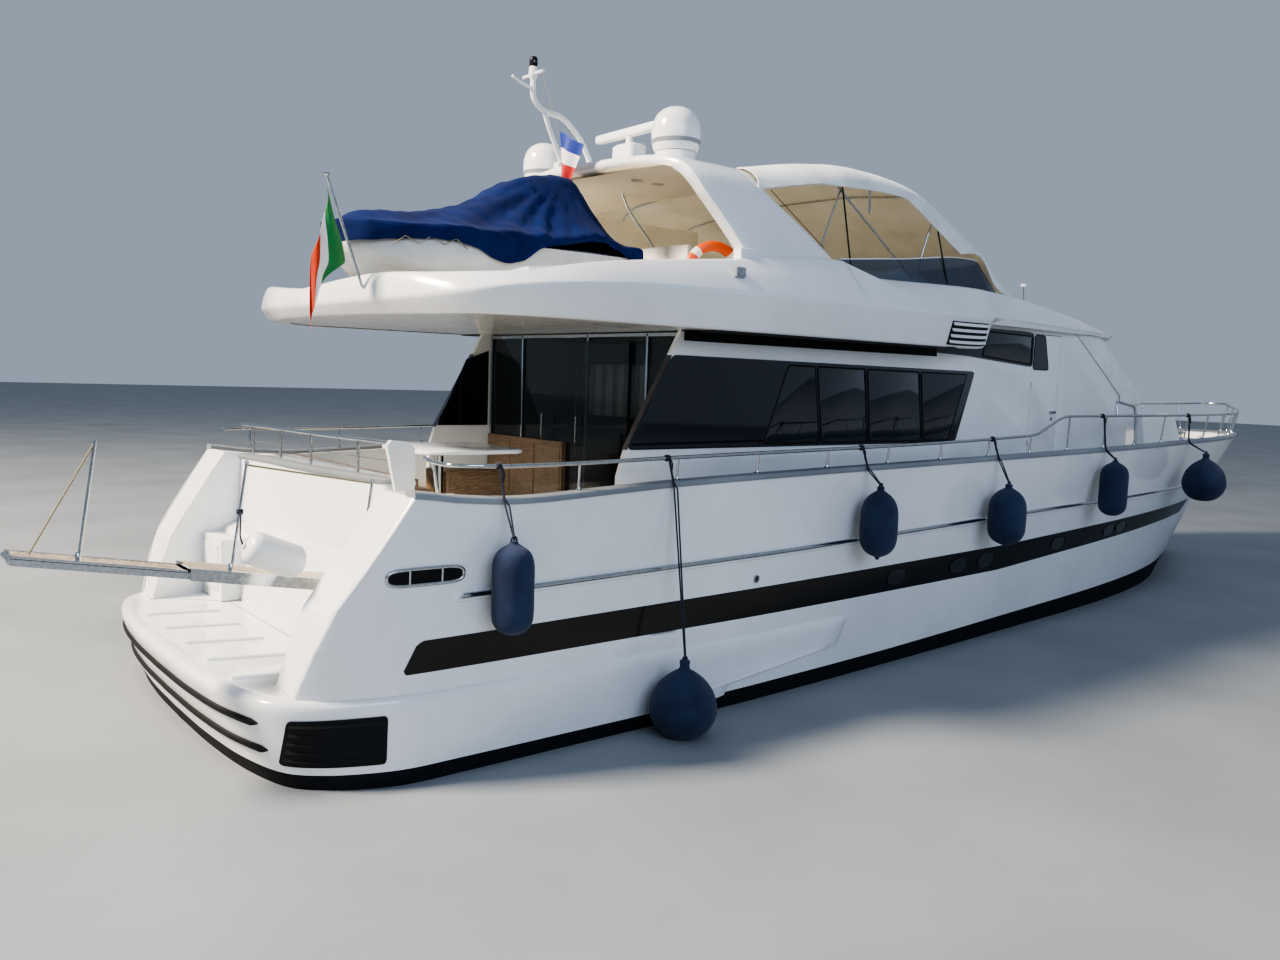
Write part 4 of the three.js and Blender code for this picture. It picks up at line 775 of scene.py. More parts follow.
platform.bar([(-10.72, 1.96, 0.748), (-10.13, 1.40, 0.748), (-10.13, -1.0, 0.748)], 0.005, 6, mark=2)
piece("platform_moulding", platform, [GELCOAT, ANTIFOUL, CAP_GREY], sharp=40,
      stands_for=("swim_platform",))

# %% Wedge panels of the platform, laid out by Geometry Nodes


def repeated(name, item, count, start, step, material, body="yacht", turn=0.0):
    """Copies of one mesh in a straight row, made by a node group with named inputs."""
    tree = bpy.data.node_groups.new(name, "GeometryNodeTree")
    tree.interface.new_socket("Geometry", in_out="INPUT", socket_type="NodeSocketGeometry")
    for label, kind in (("Count", "NodeSocketInt"), ("Start", "NodeSocketVector"),
                        ("Step", "NodeSocketVector"),
                        ("Turn", "NodeSocketFloat")):
        tree.interface.new_socket(label, in_out="INPUT", socket_type=kind)
    tree.interface.new_socket("Geometry", in_out="OUTPUT", socket_type="NodeSocketGeometry")
    given = node(tree, "NodeGroupInput")
    line = node(tree, "GeometryNodeMeshLine", {"mode": "OFFSET"}, Count=given.outputs["Count"],
                Start_Location=given.outputs["Start"], Offset=given.outputs["Step"])
    angle = node(tree, "ShaderNodeCombineXYZ", Z=given.outputs["Turn"])
    copies = node(tree, "GeometryNodeInstanceOnPoints", Points=line.outputs[0],
                  Instance=given.outputs["Geometry"],
                  Rotation=angle.outputs[0])
    real = node(tree, "GeometryNodeRealizeInstances", Geometry=copies.outputs[0])
    dressed = node(tree, "GeometryNodeSetMaterial", Geometry=real.outputs[0])
    dressed.inputs["Material"].default_value = material
    result = node(tree, "NodeGroupOutput")
    tree.links.new(dressed.outputs[0], result.inputs[0])
    mesh = bpy.data.meshes.new(name + "_item")
    mesh.from_pydata(item.points, [], item.faces)
    source = bpy.data.objects.new(name + "_item", mesh)
    bpy.context.collection.objects.link(source)
    modifier = source.modifiers.new("row", "NODES")
    modifier.node_group = tree
    for socket in tree.interface.items_tree:
        if socket.item_type == "SOCKET" and socket.in_out == "INPUT" and socket.name != "Geometry":
            modifier[socket.identifier] = {"Count": count, "Start": start, "Step": step,
                                           "Turn": turn}[socket.name]
    bpy.context.view_layer.update()
    evaluated = source.evaluated_get(bpy.context.evaluated_depsgraph_get())
    made = bpy.data.meshes.new_from_object(evaluated)
    made.name = name
    bpy.data.objects.remove(source)
    row = bpy.data.objects.new(name, made)
    bpy.context.collection.objects.link(row)
    if not made.materials:
        made.materials.append(material)
    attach(row, body)
    return row


wedge = Shape()
wedge_plan = rounded([(0.0, -0.012, 0), (0.66, -0.20, 0), (0.66, 0.20, 0), (0.0, 0.012, 0)], 0.03, 4,
                     closed=True)
wedge_middle = np.array([0.4, 0, 0])
wedge.grid([wedge_plan + (0, 0, -0.003), wedge_plan + (0, 0, 0.020),
            wedge_middle + (wedge_plan - wedge_middle) * 0.95 + (0, 0, 0.028)],
           around=True, ends=True)
repeated("platform_wedges", wedge, 5, (-11.02, -1.50, 0.748), (0.0, 0.665, 0.0), GELCOAT)

# %% Rubber strips and grilles
strips = Shape()
STRIP_HALF = 0.032
for z in (0.31, 0.545):
    edge, out = platform_edge(z)
    picked = [k for k in range(len(edge)) if edge[k][0] < -10.6 and abs(edge[k][1]) < 2.12]
    path, ways = edge[picked[0]:picked[-1] + 1], out[picked[0]:picked[-1] + 1]
    size = [min(1.0, 0.25 + 1.5 * min(k, len(path) - 1 - k)) for k in range(len(path))]
    strips.grid([[p + n * o * s + np.array([0, 0, u * s])
                  for o, u in ((-0.006, -STRIP_HALF), (0.022, -0.8 * STRIP_HALF), (0.030, 0.0),
                                                                   (0.022, 0.8 * STRIP_HALF),
        (-0.006, STRIP_HALF))]
                 for p, n, s in zip(path, ways, size)], ends=True)
piece("platform_strips", strips, RUBBER, sharp=60)

GRILLE_LOW, GRILLE_HIGH, GRILLE_AFT, GRILLE_FORE = 0.20, 0.60, -10.86, -10.16


def on_quarter(share, z, out=0.0):
    """A point on the platform's rounded starboard quarter; share 0 is aft and 1 forward."""
    edge, ways = platform_edge(z)
    picked = [k for k in range(len(edge)) if edge[k][1] < -1.0]
    xs = np.array([edge[k][0] for k in picked])
    x = GRILLE_AFT + (GRILLE_FORE - GRILLE_AFT) * share
    at = int(np.clip(np.searchsorted(xs, x), 1, len(xs) - 1))
    t = (x - xs[at - 1]) / (xs[at] - xs[at - 1])
    a, b = picked[at - 1], picked[at]
    return edge[a] * (1 - t) + edge[b] * t + (ways[a] * (1 - t) + ways[b] * t) * out


grilles = Shape()
panel = rounded([(0, GRILLE_LOW, 0), (1, GRILLE_LOW, 0), (1, GRILLE_HIGH, 0), (0, GRILLE_HIGH, 0)], 0.045,
                5, closed=True)
panel = np.array([a + (b - a) * t for a, b in zip(panel, np.roll(panel, -1, 0))
                  for t in (np.arange(14) / 14 if abs(a[0] - b[0]) > 0.3 else (0,))])
middle = np.array([0.5, (GRILLE_LOW + GRILLE_HIGH) / 2, 0])
grilles.grid([[on_quarter(q[0], q[1], 0.010 if k else -0.01) for q in middle + (panel - middle) * size]
              for k, size in enumerate((1.0, 1.0, 0.8, 0.6, 0.4, 0.2, 0.02))], around=True, ends=True)
for z in (0.25, 0.325, 0.40, 0.475, 0.55):
    shares = np.linspace(0.03, 0.97, 15)
    grilles.grid([[on_quarter(s, z - 0.022, 0.003), on_quarter(s, z - 0.018, 0.022),
                   on_quarter(s, z - 0.006, 0.024), on_quarter(s, z + 0.022, 0.003)]
                  for s in shares], ends=True)
piece("quarter_grilles", grilles.mirrored(), BLACK_PLASTIC, sharp=40)

# %% [markdown]
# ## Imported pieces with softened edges
# A moulding never has a sharp edge, because cloth would not lie round it. These pieces keep the packed
# shape; their edges are given the small radius of the mould, which draws a line of light along each one.

# %% Softened copies


def softened(node_name, material, radius, body="yacht", segments=3, flat=4.0, sharp=30):
    """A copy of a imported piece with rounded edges, which stands for it."""
    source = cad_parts[node_name]
    mesh = source.data.copy()
    mesh.name = node_name + "_soft"
    mesh.materials.clear()
    mesh.materials.append(material)
    mesh.polygons.foreach_set("material_index", [0] * len(mesh.polygons))
    work = bmesh.new()
    work.from_mesh(mesh)
    bmesh.ops.remove_doubles(work, verts=work.verts, dist=1e-4)
    bmesh.ops.dissolve_limit(work, angle_limit=math.radians(flat), verts=work.verts, edges=work.edges)
    work.to_mesh(mesh)
    work.free()
    copy = bpy.data.objects.new(node_name + "_soft", mesh)
    bpy.context.collection.objects.link(copy)
    bevel = copy.modifiers.new("radius", "BEVEL")
    bevel.width, bevel.segments, bevel.limit_method = radius, segments, "ANGLE"
    bevel.angle_limit = math.radians(sharp)
    bevel.use_clamp_overlap = True
    bpy.context.view_layer.update()
    rounded_mesh = bpy.data.meshes.new_from_object(copy.evaluated_get(
        bpy.context.evaluated_depsgraph_get()))
    copy.modifiers.clear()
    copy.data = rounded_mesh
    rounded_mesh.shade_smooth()
    rounded_mesh.set_sharp_from_angle(angle=math.radians(32))
    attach(copy, body)
    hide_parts(node_name)
    return copy


for node_name, material, radius, slot in (
        ("transom", GELCOAT, 0.030, "gelcoat"), ("deckhouse_starboard", GELCOAT, 0.010, "gelcoat"),
        ("deckhouse_port", GELCOAT, 0.010, "gelcoat"), ("cockpit_settee", CHERRY, 0.012, "wood")):
    softened(node_name, material, radius)
for node_name, body, material, radius, slot in (
        ("side_door_starboard", "side_door_starboard_body", GELCOAT, 0.006, "gelcoat"),
        ("side_door_port", "side_door_port_body", GELCOAT, 0.006, "gelcoat"),
        ("foredeck_hatch", "foredeck_hatch_body", SMOKED, 0.008, "smoked_glass"),
        ("helm_wheel", "helm_wheel_body", BLACK_PLASTIC, 0.004, "black_plastic")):
    softened(node_name, material, radius, body=body)
for names, material in ((("deckhouse_front", "flybridge"), GELCOAT),
                        (("windscreen", "aft_bulkhead", "saloon_door"), TINTED),
                        (("propeller_starboard", "propeller_port", "rudder_starboard", "rudder_port"),
                         BRONZE), (("tender_hull",), HYPALON)):
    dress(names, material)
print("softened and dressed the packed mouldings")

# %% [markdown]
# ## Trim of the transom
# The coaming ends in a grey cap. Halfway down a moulded ledge catches the spray; on the port side a small
# locker stands on the platform, and by the gate a leaning pillar carries the handrail's end.

# %% Trim of the transom
TRANSOM_LINE = [(-9.79, 2.047), (-9.72, 1.5), (-9.67, 0.53), (-9.56, -0.4), (-9.46, -1.05)]
coaming_line = smooth([(x, y, 0) for x, y in TRANSOM_LINE], 8)
transom_trim = Shape()
cap_section = [(0.006, -0.030), (-0.022, -0.022), (-0.030, 0.0), (-0.022, 0.020), (0.0, 0.028),
               (0.10, 0.026), (0.14, 0.012), (0.14, -0.01)]
cap_line = np.vstack([coaming_line, [(-9.40, -1.09, 0), (-9.32, -1.10, 0), (-9.20, -1.10, 0)]])
cap_ways = np.gradient(cap_line, axis=0)
cap_in = np.stack([-cap_ways[:, 1], cap_ways[:, 0], 0 * cap_ways[:, 0]], 1)
cap_in /= np.linalg.norm(cap_in, axis=1, keepdims=True)
transom_trim.grid([[p + n * o + np.array([0, 0, 2.292 + u]) for o, u in cap_section]
                   for p, n in zip(cap_line, cap_in)], ends=True, mark=1)
transom_trim.block((-10.22, 1.40, 0.744), (-9.93, 2.04, 1.44), 0.03, mark=0)
transom_trim.block((-10.23, 1.47, 0.86), (-10.22, 1.97, 1.36), 0.0, mark=0)
pillar = [(-9.44, -1.115, 1.40), (-9.22, -1.115, 1.40), (-9.22, -1.115, 2.60), (-9.26, -1.115, 2.66),
          (-9.46, -1.115, 2.68), (-9.50, -1.115, 2.63),
          (-9.36, -1.115, 1.95)]
transom_trim.prism(pillar, (0, -0.05, 0), mark=0)
piece("transom_trim", transom_trim, [GELCOAT, CAP_GREY], sharp=45)

# %% [markdown]
# ## Side windows
# The long window is one sheet of smoked acrylic bonded over the cabin's side; its real panes sit inside it
# behind thin black frames and look a shade lighter. Forward and above lie the wheelhouse window and the
# pane in the pilot's door, which moves with the door.

# %% Side windows
HOUSE_SIDE = 2.02
PANELS = {  # upper edge and lower edge of each sheet, as places along and heights
    "saloon": ([(-6.81, 3.575), (-1.47, 3.56)], [(-7.36, 2.615), (-1.83, 2.62)]),
    "wheelhouse": ([(-2.20, 3.86), (-1.30, 4.15), (-0.30, 4.155), (-0.060, 4.14)],
                   [(-2.43, 3.78), (-1.66, 3.76), (-0.058, 3.665)])}
# The posts between the panes, foot and head, as places along.
POSTS_BETWEEN = {"saloon": [(-5.47, -5.12), (-4.51, -4.64), (-3.64, -3.74), (-2.56, -2.68), (-1.98, -1.64)],
                 "wheelhouse": [(-1.36, -1.22), (-0.085, -0.085)]}
POST_HALF, SILL, HEAD = 0.022, 0.035, 0.045


def bonded_sheet(shape, outline, y, thickness, radius, mark, side):
    """A sheet with rounded corners whose outer face lies at the half-breadth y."""
    ring = rounded([(x, side * (y - thickness), z) for x, z in outline], radius, 5, closed=True)
    centre = ring.mean(axis=0)
    lift = np.array([0, side * thickness, 0])
    shape.grid([ring, ring + lift * 0.7, centre + (ring - centre) * 0.995 + lift], around=True, ends=True,
               mark=mark)


for place_name, (upper, lower) in PANELS.items():
    for side, side_name in SIDES:
        sheet = Shape()
        bonded_sheet(sheet, [*upper, *lower[::-1]], HOUSE_SIDE + 0.012, 0.011, 0.07, 0, side)
        if place_name == "saloon":
            # The acrylic is turned round the after edge of the wall.
            edge = [(-7.374, 2.62), (-6.834, 3.57), (-6.822, 3.57), (-7.362, 2.62)]
            sheet.prism([(x, side * 1.955, z) for x, z in edge], (0, side * 0.077, 0), mark=0)
        posts = POSTS_BETWEEN[place_name]
        for (foot_a, head_a), (foot_b, head_b) in zip(posts, posts[1:]):
            corners = [(foot_a + POST_HALF, read(lower, foot_a) + SILL),
                       (head_a + POST_HALF, read(upper, head_a) - HEAD),
                       (head_b - POST_HALF, read(upper, head_b) - HEAD),
                       (foot_b - POST_HALF, read(lower, foot_b) + SILL)]
            bonded_sheet(sheet, corners, HOUSE_SIDE + 0.016, 0.004, 0.04, 2, side)
            sheet.bar(rounded([(x, side * (HOUSE_SIDE + 0.014), z) for x, z in corners], 0.04, 5,
                              closed=True), 0.009, 6, mark=1, loop=True)
        piece(f"window_{place_name}_{side_name}", sheet, [SMOKED, BLACK_PLASTIC, PANE],
              sharp=30,
              stands_for=(f"{place_name}_glazing_{side_name}",))

# %% Pane, seams and handle of the pilot's doors
DOOR_FACE = HOUSE_SIDE + 0.001
DOOR_PANE = [(-0.030, 3.635), (-0.030, 4.12), (0.24, 4.12), (0.38, 3.635)]
for side, side_name in SIDES:
    door_trim = Shape()
    bonded_sheet(door_trim, DOOR_PANE, DOOR_FACE + 0.008, 0.008, 0.05, 0, side)
    door_trim.bar(rounded([(x, side * (DOOR_FACE + 0.004), z) for x, z in DOOR_PANE], 0.05, 5, closed=True),
                  0.007, 6, mark=1, loop=True)
    handle = sorted((side * (DOOR_FACE - 0.004), side * (DOOR_FACE + 0.034)))
    door_trim.block((0.482, handle[0], 3.004), (0.628, handle[1], 3.046), 0.012, mark=2)
    door_trim.turned([(0.0, 0.0), (0.028, 0.0), (0.028, 0.006), (0.0, 0.008)],
                     (0.55, side * DOOR_FACE, 2.93), axis=(0, side, 0), sides=20, mark=2)
    piece(f"pilot_door_trim_{side_name}", door_trim, [SMOKED, BLACK_PLASTIC, STEEL],
          body=f"side_door_{side_name}_body", sharp=30)
pipes = Shape()
for side in (-1, 1):
    pipes.bar(rounded([(1.30, side * 2.64, 2.98), (1.30, side * 2.60, 3.22), (1.90, side * 2.60, 3.14),
                       (2.00, side * 2.60, 2.545)], 0.08, 5), 0.019, 12)
piece("handrail_bends", pipes, STEEL, sharp=50)

# %% [markdown]
# ## Upper deck moulding
# The roof of the cabin and the sides of the upper deck are one moulding. It swells from the black band under it
# to a soft knuckle and leans inward to the coaming, so it shows three bands of light. That band's black is
# partly
# painted shade: it stands for the shade in the shadow gap under the moulding as well as for its dark lining.

# %% Upper deck moulding
# Lower edge x, y; knuckle x, y; coaming x, y, from the stern round the starboard side to the front.
FLY_PLAN = [
    [-9.8, 0, -9.89, 0, -9.86, 0], [-9.74, 0.9, -9.83, 0.92, -9.8, 0.88],
            [-9.61, 1.48, -9.7, 1.52, -9.67, 1.45],
    [-9.43, 2.03, -9.51, 2.09, -9.48, 1.97], [-9.2, 2.36, -9.27, 2.44, -9.22, 2.3],
            [-8.86, 2.52, -8.92, 2.64, -8.83, 2.45],
    [-7.4, 2.52, -7.4, 2.66, -7.4, 2.43], [-6, 2.52, -6, 2.66, -6, 2.40],
            [-4.9, 2.517, -4.9, 2.643, -4.9, 2.36],
    [-4.65, 2.515, -4.65, 2.64, -4.65, 2.352], [-4.4, 2.512, -4.4, 2.635, -4.4, 2.345],
            [-3.6, 2.506, -3.6, 2.616, -3.6, 2.312],
    [-2.9, 2.50, -2.9, 2.60, -2.9, 2.283], [-2.4, 2.41, -2.4, 2.49, -2.4, 2.263],
            [-2.0, 2.33, -2.0, 2.40, -2.0, 2.246],
    [-1.7, 2.26, -1.7, 2.325, -1.7, 2.218], [-1.55, 2.19, -1.55, 2.29, -1.55, 2.195],
            [-1.45, 2.08, -1.45, 2.262, -1.45, 2.18],
    [-1.2, 2.07, -1.2, 2.20, -1.2, 2.153], [-0.4, 2.065, -0.4, 2.175, -0.4, 2.095],
            [0.4, 2.06, 0.4, 2.15, 0.4, 2.036],
    [1.0, 2.06, 1.0, 2.13, 1.0, 1.988], [1.5, 2.03, 1.52, 2.09, 1.4, 1.94],
            [2.25, 1.88, 2.3, 1.93, 2.1, 1.76],
    [2.95, 1.52, 3.02, 1.56, 2.75, 1.4], [3.47, 1.0, 3.55, 1.03, 3.2, 0.9], [3.7, 0, 3.78, 0, 3.4, 0]]
FLY_LOW_Z = eased([[-9.9, 3.824], [-2.9, 3.824], [-2.0, 3.84], [-1.7, 3.86], [-1.55, 3.92], [-1.45, 4.17],
                   [-1.2, 4.185], [3.8, 4.185]])
FLY_MID_Z = eased([[-9.9, 3.92], [-9.5, 3.98], [-9, 4.08], [-7, 4.19], [-2.9, 4.22], [-1.2, 4.26],
                   [3.8, 4.215]])
FLY_TOP_Z = eased([*[[-9.9, 4.03], [-9.8, 4.14], [-9.67, 4.175], [-9.48, 4.165], [-9.22, 4.175],
                     [-8.83, 4.215]], [-8.1, 4.35], [-6.4, 4.54], [-4.9, 4.69],
                   [-4.65, 4.69], [-4.4, 4.55], [-1.85, 4.61], [-1.3, 4.6], [0.9, 4.43], [2.1, 4.31],
                   [3.4, 4.26]])
FLY_OUT = 0.014
fly_low, fly_mid, fly_top = (smooth([(row[k], -row[k + 1], 0) for row in FLY_PLAN], 6) for k in (0, 2, 4))


def outward(plan):
    ways = np.gradient(plan, axis=0)
    out = np.stack([ways[:, 1], -ways[:, 0], 0 * ways[:, 0]], 1)
    return out / np.maximum(np.linalg.norm(out, axis=1, keepdims=True), 1e-9)


out_low, out_mid, out_top = outward(fly_low), outward(fly_mid), outward(fly_top)
moulding = Shape()
fly_rows = []
for k in range(len(fly_mid)):
    low = fly_low[k] + out_low[k] * FLY_OUT + np.array([0, 0, FLY_LOW_Z(fly_low[k][0])])
    mid = fly_mid[k] + out_mid[k] * (FLY_OUT + 0.004) + np.array([0, 0, FLY_MID_Z(fly_mid[k][0])])
    top = fly_top[k] + out_top[k] * FLY_OUT + np.array([0, 0, FLY_TOP_Z(fly_top[k][0]) + 0.008])
    inner = top - out_top[k] * 0.13 + np.array([0, 0, 0.002])
    under = low - out_low[k] * 0.22
    swell = mid * 0.45 + top * 0.55 + out_top[k] * 0.012
    fly_rows.append([under, *rounded([low - out_low[k] * 0.05, low, mid, swell, top, inner,
                                      inner - (0, 0, 0.16)], 0.035, 4)[1:]])
moulding.grid(fly_rows)
piece("upper_deck_moulding", moulding.mirrored(), GELCOAT, sharp=48)

# %% Black band of the shadow gap, partly painted shade; louvre and deck lamp
# Black sheets on the cabin's side and under the moulding's edge: partly painted shade of the shadow gap.
shadow_gap = Shape()
for side in (-1, 1):
    shadow_gap.grid([[(x, side * (HOUSE_SIDE + 0.004), z + dz) for dz in (0.0, 0.10)]
                 for x, z in ((-6.66, 3.725), (-2.34, 3.73))])
    shadow_gap.block((-6.7, min(side * 2.02, side * 2.5), 3.818), (-2.6, max(side * 2.02, side * 2.5), 3.828))
piece("shadow_gap_band", shadow_gap, BLACK_PLASTIC)


def under_knuckle(x, share, out=0.0):
    """A starboard point between the moulding's lower edge (share 0) and its knuckle (share 1), moved out."""
    low_y, mid_y = (read([[row[k], row[k + 1]] for row in FLY_PLAN[7:21]], x) + FLY_OUT for k in (0, 2))
    return np.array([x, -(low_y + (mid_y - low_y) * share + out),
                     FLY_LOW_Z(x) + (FLY_MID_Z(x) - FLY_LOW_Z(x)) * share])


LOUVRE_AFT, LOUVRE_FORE, LOUVRE_LOW, LOUVRE_HIGH, SLATS = -2.86, -1.70, 0.08, 0.80, 4
louvre = Shape()
louvre.shell([[under_knuckle(x, share, 0.012) for x in np.linspace(LOUVRE_AFT, LOUVRE_FORE, 12)]
              for share in np.linspace(LOUVRE_HIGH, LOUVRE_LOW, 4)], 0.02, 0)
for number in range(SLATS):
    share = LOUVRE_LOW + (LOUVRE_HIGH - LOUVRE_LOW) * (number + 0.55) / SLATS
    louvre.grid([[under_knuckle(x, share + up, out)
                  for up, out in ((-0.055, 0.036), (-0.045, 0.044), (0.045, 0.018), (0.03, 0.010))]
                 for x in np.linspace(LOUVRE_AFT + 0.02, LOUVRE_FORE - 0.02, 12)], around=True, ends=True,
                mark=1)
piece("louvre", louvre.mirrored(), [BLACK_PLASTIC, GELCOAT], sharp=40)

# %% [markdown]
# ## Upper windscreen
# A low screen of bent acrylic stands on the coaming. Its rim carries a thin white trim; the glass is pale
# enough to show the canopy's tubes through it.

# %% Upper windscreen
SCREEN_PLAN = [[-4.64, 2.29], [-4.4, 2.285], [-3.5, 2.25], [-1.9, 2.15], [-1.08, 2.03], [-0.9, 1.4],
               [-0.82, 0]]
SCREEN_TOP = eased([[-4.64, 4.715], [-3.5, 4.83], [-1.9, 4.985], [-1.5, 4.96], [0, 4.96]])


def screen_pair(x, y):
    """Foot and head of the upper windscreen over one point of its plan."""
    lean = 0.56 * read([[-3.6, 0], [-3.5, 0.3], [-2.0, 0.3], [-1.0, 1.0]], x)
    foot = np.array([x, -y, FLY_TOP_Z(x) + 0.004])
    head_x = x - lean
    return foot, np.array([head_x, -y, SCREEN_TOP(head_x)])


screen_line = smooth([(x, y, 0) for x, y in SCREEN_PLAN], 6)
pairs = [screen_pair(x, y) for x, y, _ in screen_line]
screen = Shape()
screen.shell([[foot + (head - foot) * k / 4 for foot, head in pairs] for k in range(5)], 0.008, 0)
screen.bar([head + np.array([0, 0, 0.004]) for _, head in pairs], 0.010, 8, mark=1)
piece("fly_screen", screen.mirrored(), [FLY_TINT, GELCOAT], sharp=40,
      stands_for=("fly_windscreen",))

# %% [markdown]
# ## Arch and hardtop
# Two broad legs lean aft and turn over into a hardtop in one sweep. The moulding is hollow glass-fibre; its
# panel seams and the foot blocks show how it is bolted down.

# %% Arch
ARCH_LINE = [  # [y, z], aft edge x, fore edge x, thickness, from the foot to the centreline
    (2.38, 4.50, -6.085, -4.53, 0.16), (2.34, 4.72, -6.22, -4.80, 0.16), (2.27, 5.00, -6.43, -5.20, 0.16),
    (2.19, 5.24, -6.62, -5.56, 0.15), (2.11, 5.40, -6.70, -5.72, 0.15), (1.98, 5.52, -6.74, -5.70, 0.14),
    (1.78, 5.60, -6.78, -5.56, 0.13), (1.50, 5.64, -6.82, -5.42, 0.13), (0.90, 5.67, -6.90, -5.35, 0.14),
    (0.00, 5.69, -6.96, -5.35, 0.15)]


def arch_section(y, z, aft, fore, thick, way):
    """One ring of the arch: a flattened lens, its thick side inward; `way` is the outward direction."""
    long = fore - aft
    out = []
    for s, depth in ((0.0, 0.35), (0.02, 0.10), (0.08, 0.02), (0.3, 0.0), (0.7, 0.0), (0.92, 0.02),
                     (0.98, 0.10), (1.0, 0.35),
                     (1.0, 0.65), (0.98, 0.9), (0.92, 1.0), (0.5, 1.04), (0.08, 1.0), (0.02, 0.9),
                     (0.0, 0.65)):
        out.append((aft + long * s, y - way[0] * thick * depth, z - way[1] * thick * depth))
    return out


arch_line = smooth([(y, z, 0) for y, z, *_ in ARCH_LINE], 5)
arch_more = smooth([(aft, fore, thick) for _, _, aft, fore, thick in ARCH_LINE], 5)
half_rows = []
turns = np.gradient(arch_line[:, :2], axis=0)
for (y, z, _), (aft, fore, thick), (dy, dz) in zip(arch_line, arch_more, turns):
    size = math.hypot(dy, dz)
    way = (dz / size, -dy / size)
    half_rows.append(arch_section(y, z, aft, fore, thick, way))
half_rows[-1] = arch_section(0, 5.69, -6.96, -5.35, 0.15, (0, 1))
arch = Shape()
arch.grid([[(x, -y, z) for x, y, z in row] for row in half_rows], around=True)
arch.mirrored()
RADAR_X = -5.87
arch.block((RADAR_X - 0.16, -0.15, 5.60), (RADAR_X + 0.16, 0.15, 5.90), 0.05)
arch.block((RADAR_X - 0.13, -0.20, 5.89), (RADAR_X + 0.13, 0.20, 6.10), 0.07)
for y in (-1.28, 1.28):
    arch.turned([(0, 5.56), (0.245, 5.56), (0.228, 5.66), (0.225, 5.7597)], (-6.23, y, 0), sides=32)
for x0, x1, top in ((-6.92, -6.80, 5.74), (-6.53, -6.39, 5.79)):
    arch.block((x0, -0.06, 5.58), (x1, 0.06, top), 0.02)
piece("arch_moulding", arch, GELCOAT, sharp=42, stands_for=("arch",))

# %% Seams, foot blocks, lamps and lining of the arch
trim = Shape()
for side in (-1, 1):
    for x0, x1, z0, z1, y0, y1 in ((-4.95, -5.62, 4.80, 5.36, 2.335, 2.135),):
        line = [(x0 + (x1 - x0) * t, side * (y0 + (y1 - y0) * t + 0.004), z0 + (z1 - z0) * t)
                for t in np.linspace(0, 1, 9)]
        trim.bar(line, 0.004, 4, mark=1)
    trim.block((-6.27, min(side * 2.28, side * 2.40), 4.54), (-6.08, max(side * 2.28, side * 2.40), 4.675),
               0.02, mark=0)
    for x in (-6.45, -6.15):
        trim.turned([(0.0, 0.0), (0.06, 0.0), (0.07, 0.012), (0.07, 0.02)], (x, side * 0.9, 5.505),
                    axis=(0, 0, -1), sides=20, mark=2)
piece("arch_fittings", trim, [GELCOAT, BLACK_PLASTIC, STEEL])
lining = Shape()
lining.grid([[(-6.88, -1.85, 5.47), (-5.40, -1.85, 5.47)], [(-6.90, 0, 5.515), (-5.38, 0, 5.515)],
             [(-6.88, 1.85, 5.47), (-5.40, 1.85, 5.47)]])
piece("hardtop_lining", lining, CREAM)

# %% [markdown]
# ## Domes, radar and mast
# The satellite domes are rotation-moulded shells over a dish, with a grey joint low down. The radar's bar
# turns on its housing. The mast is welded from tube and carries the steaming light.

# %% Domes
DOME = [(0.0, 0.0), (0.20, 0.0), (0.232, 0.012), (0.25, 0.05), (0.262, 0.10), (0.268, 0.16), (0.268, 0.22),
        (0.262, 0.28),
        (0.246, 0.34), (0.214, 0.40), (0.166, 0.445), (0.105, 0.475), (0.05, 0.488), (0.0, 0.492)]
for y, side_name in ((-1.28, "starboard"), (1.28, "port")):
    dome = Shape()
    dome.turned(DOME, (-6.23, y, 5.76), sides=48, mark=0)
    dome.turned([(0.255, 0.085), (0.266, 0.09), (0.269, 0.128), (0.262, 0.134)], (-6.23, y, 5.76), sides=48,
                mark=1)
    piece(f"dome_{side_name}_shell", dome, [GELCOAT, CAP_GREY],
          stands_for=(f"dome_{side_name}",))

# %% Radar bar and mast
bar = Shape()
radar_rows = []
for y in (-0.64, -0.63, -0.60, -0.3, 0.0, 0.3, 0.60, 0.63, 0.64):
    share = 0.45 if abs(y) > 0.635 else (0.85 if abs(y) > 0.61 else 1.0)
    radar_rows.append([(RADAR_X + 0.055 * share * math.cos(a) * abs(math.cos(a)) ** -0.4, y,
                        6.245 + 0.055 * share * math.sin(a) * abs(math.sin(a) + 1e-6) ** -0.4)
                       for a in (2 * math.pi * (k + 0.5) / 16 for k in range(16))])
bar.grid(radar_rows, around=True, ends=True)
bar.turned([(0.05, 6.1003), (0.045, 6.14), (0.04, 6.20)], (RADAR_X, 0, 0), sides=24)
piece("radar_bar", bar, GELCOAT, body="radar_antenna_body", stands_for=("radar_antenna",))
mast = Shape()
mast.bar(rounded([(-6.46, 0, 5.7903), (-6.46, 0, 5.84), (-6.6, 0, 6.06), (-6.77, 0, 6.2), (-6.87, 0, 6.25),
                  (-7.08, 0, 6.265),
                  (-7.18, 0, 6.31), (-7.25, 0, 6.4), (-7.25, 0, 6.60)], 0.06, 4), 0.032, 16)
mast.turned([(0.033, 0.0), (0.046, 0.02), (0.052, 0.06), (0.048, 0.13), (0.034, 0.145)], (-7.25, 0, 6.58),
            sides=20)
mast.bar(rounded([(-7.26, 0, 6.49), (-7.38, 0, 6.51), (-7.52, 0, 6.57)], 0.05), 0.016, 12)
mast.bar(rounded([(-6.86, 0, 5.7403), (-6.86, 0, 5.78), (-7.04, 0, 6.13), (-7.09, 0, 6.262)], 0.05, 4),
         0.028, 14)
mast.bar([(-7.25, -0.2, 6.64), (-7.25, 0.2, 6.64)], 0.018, 12)
piece("mast_tubes", mast, GELCOAT, stands_for=("mast",))
lights = Shape()
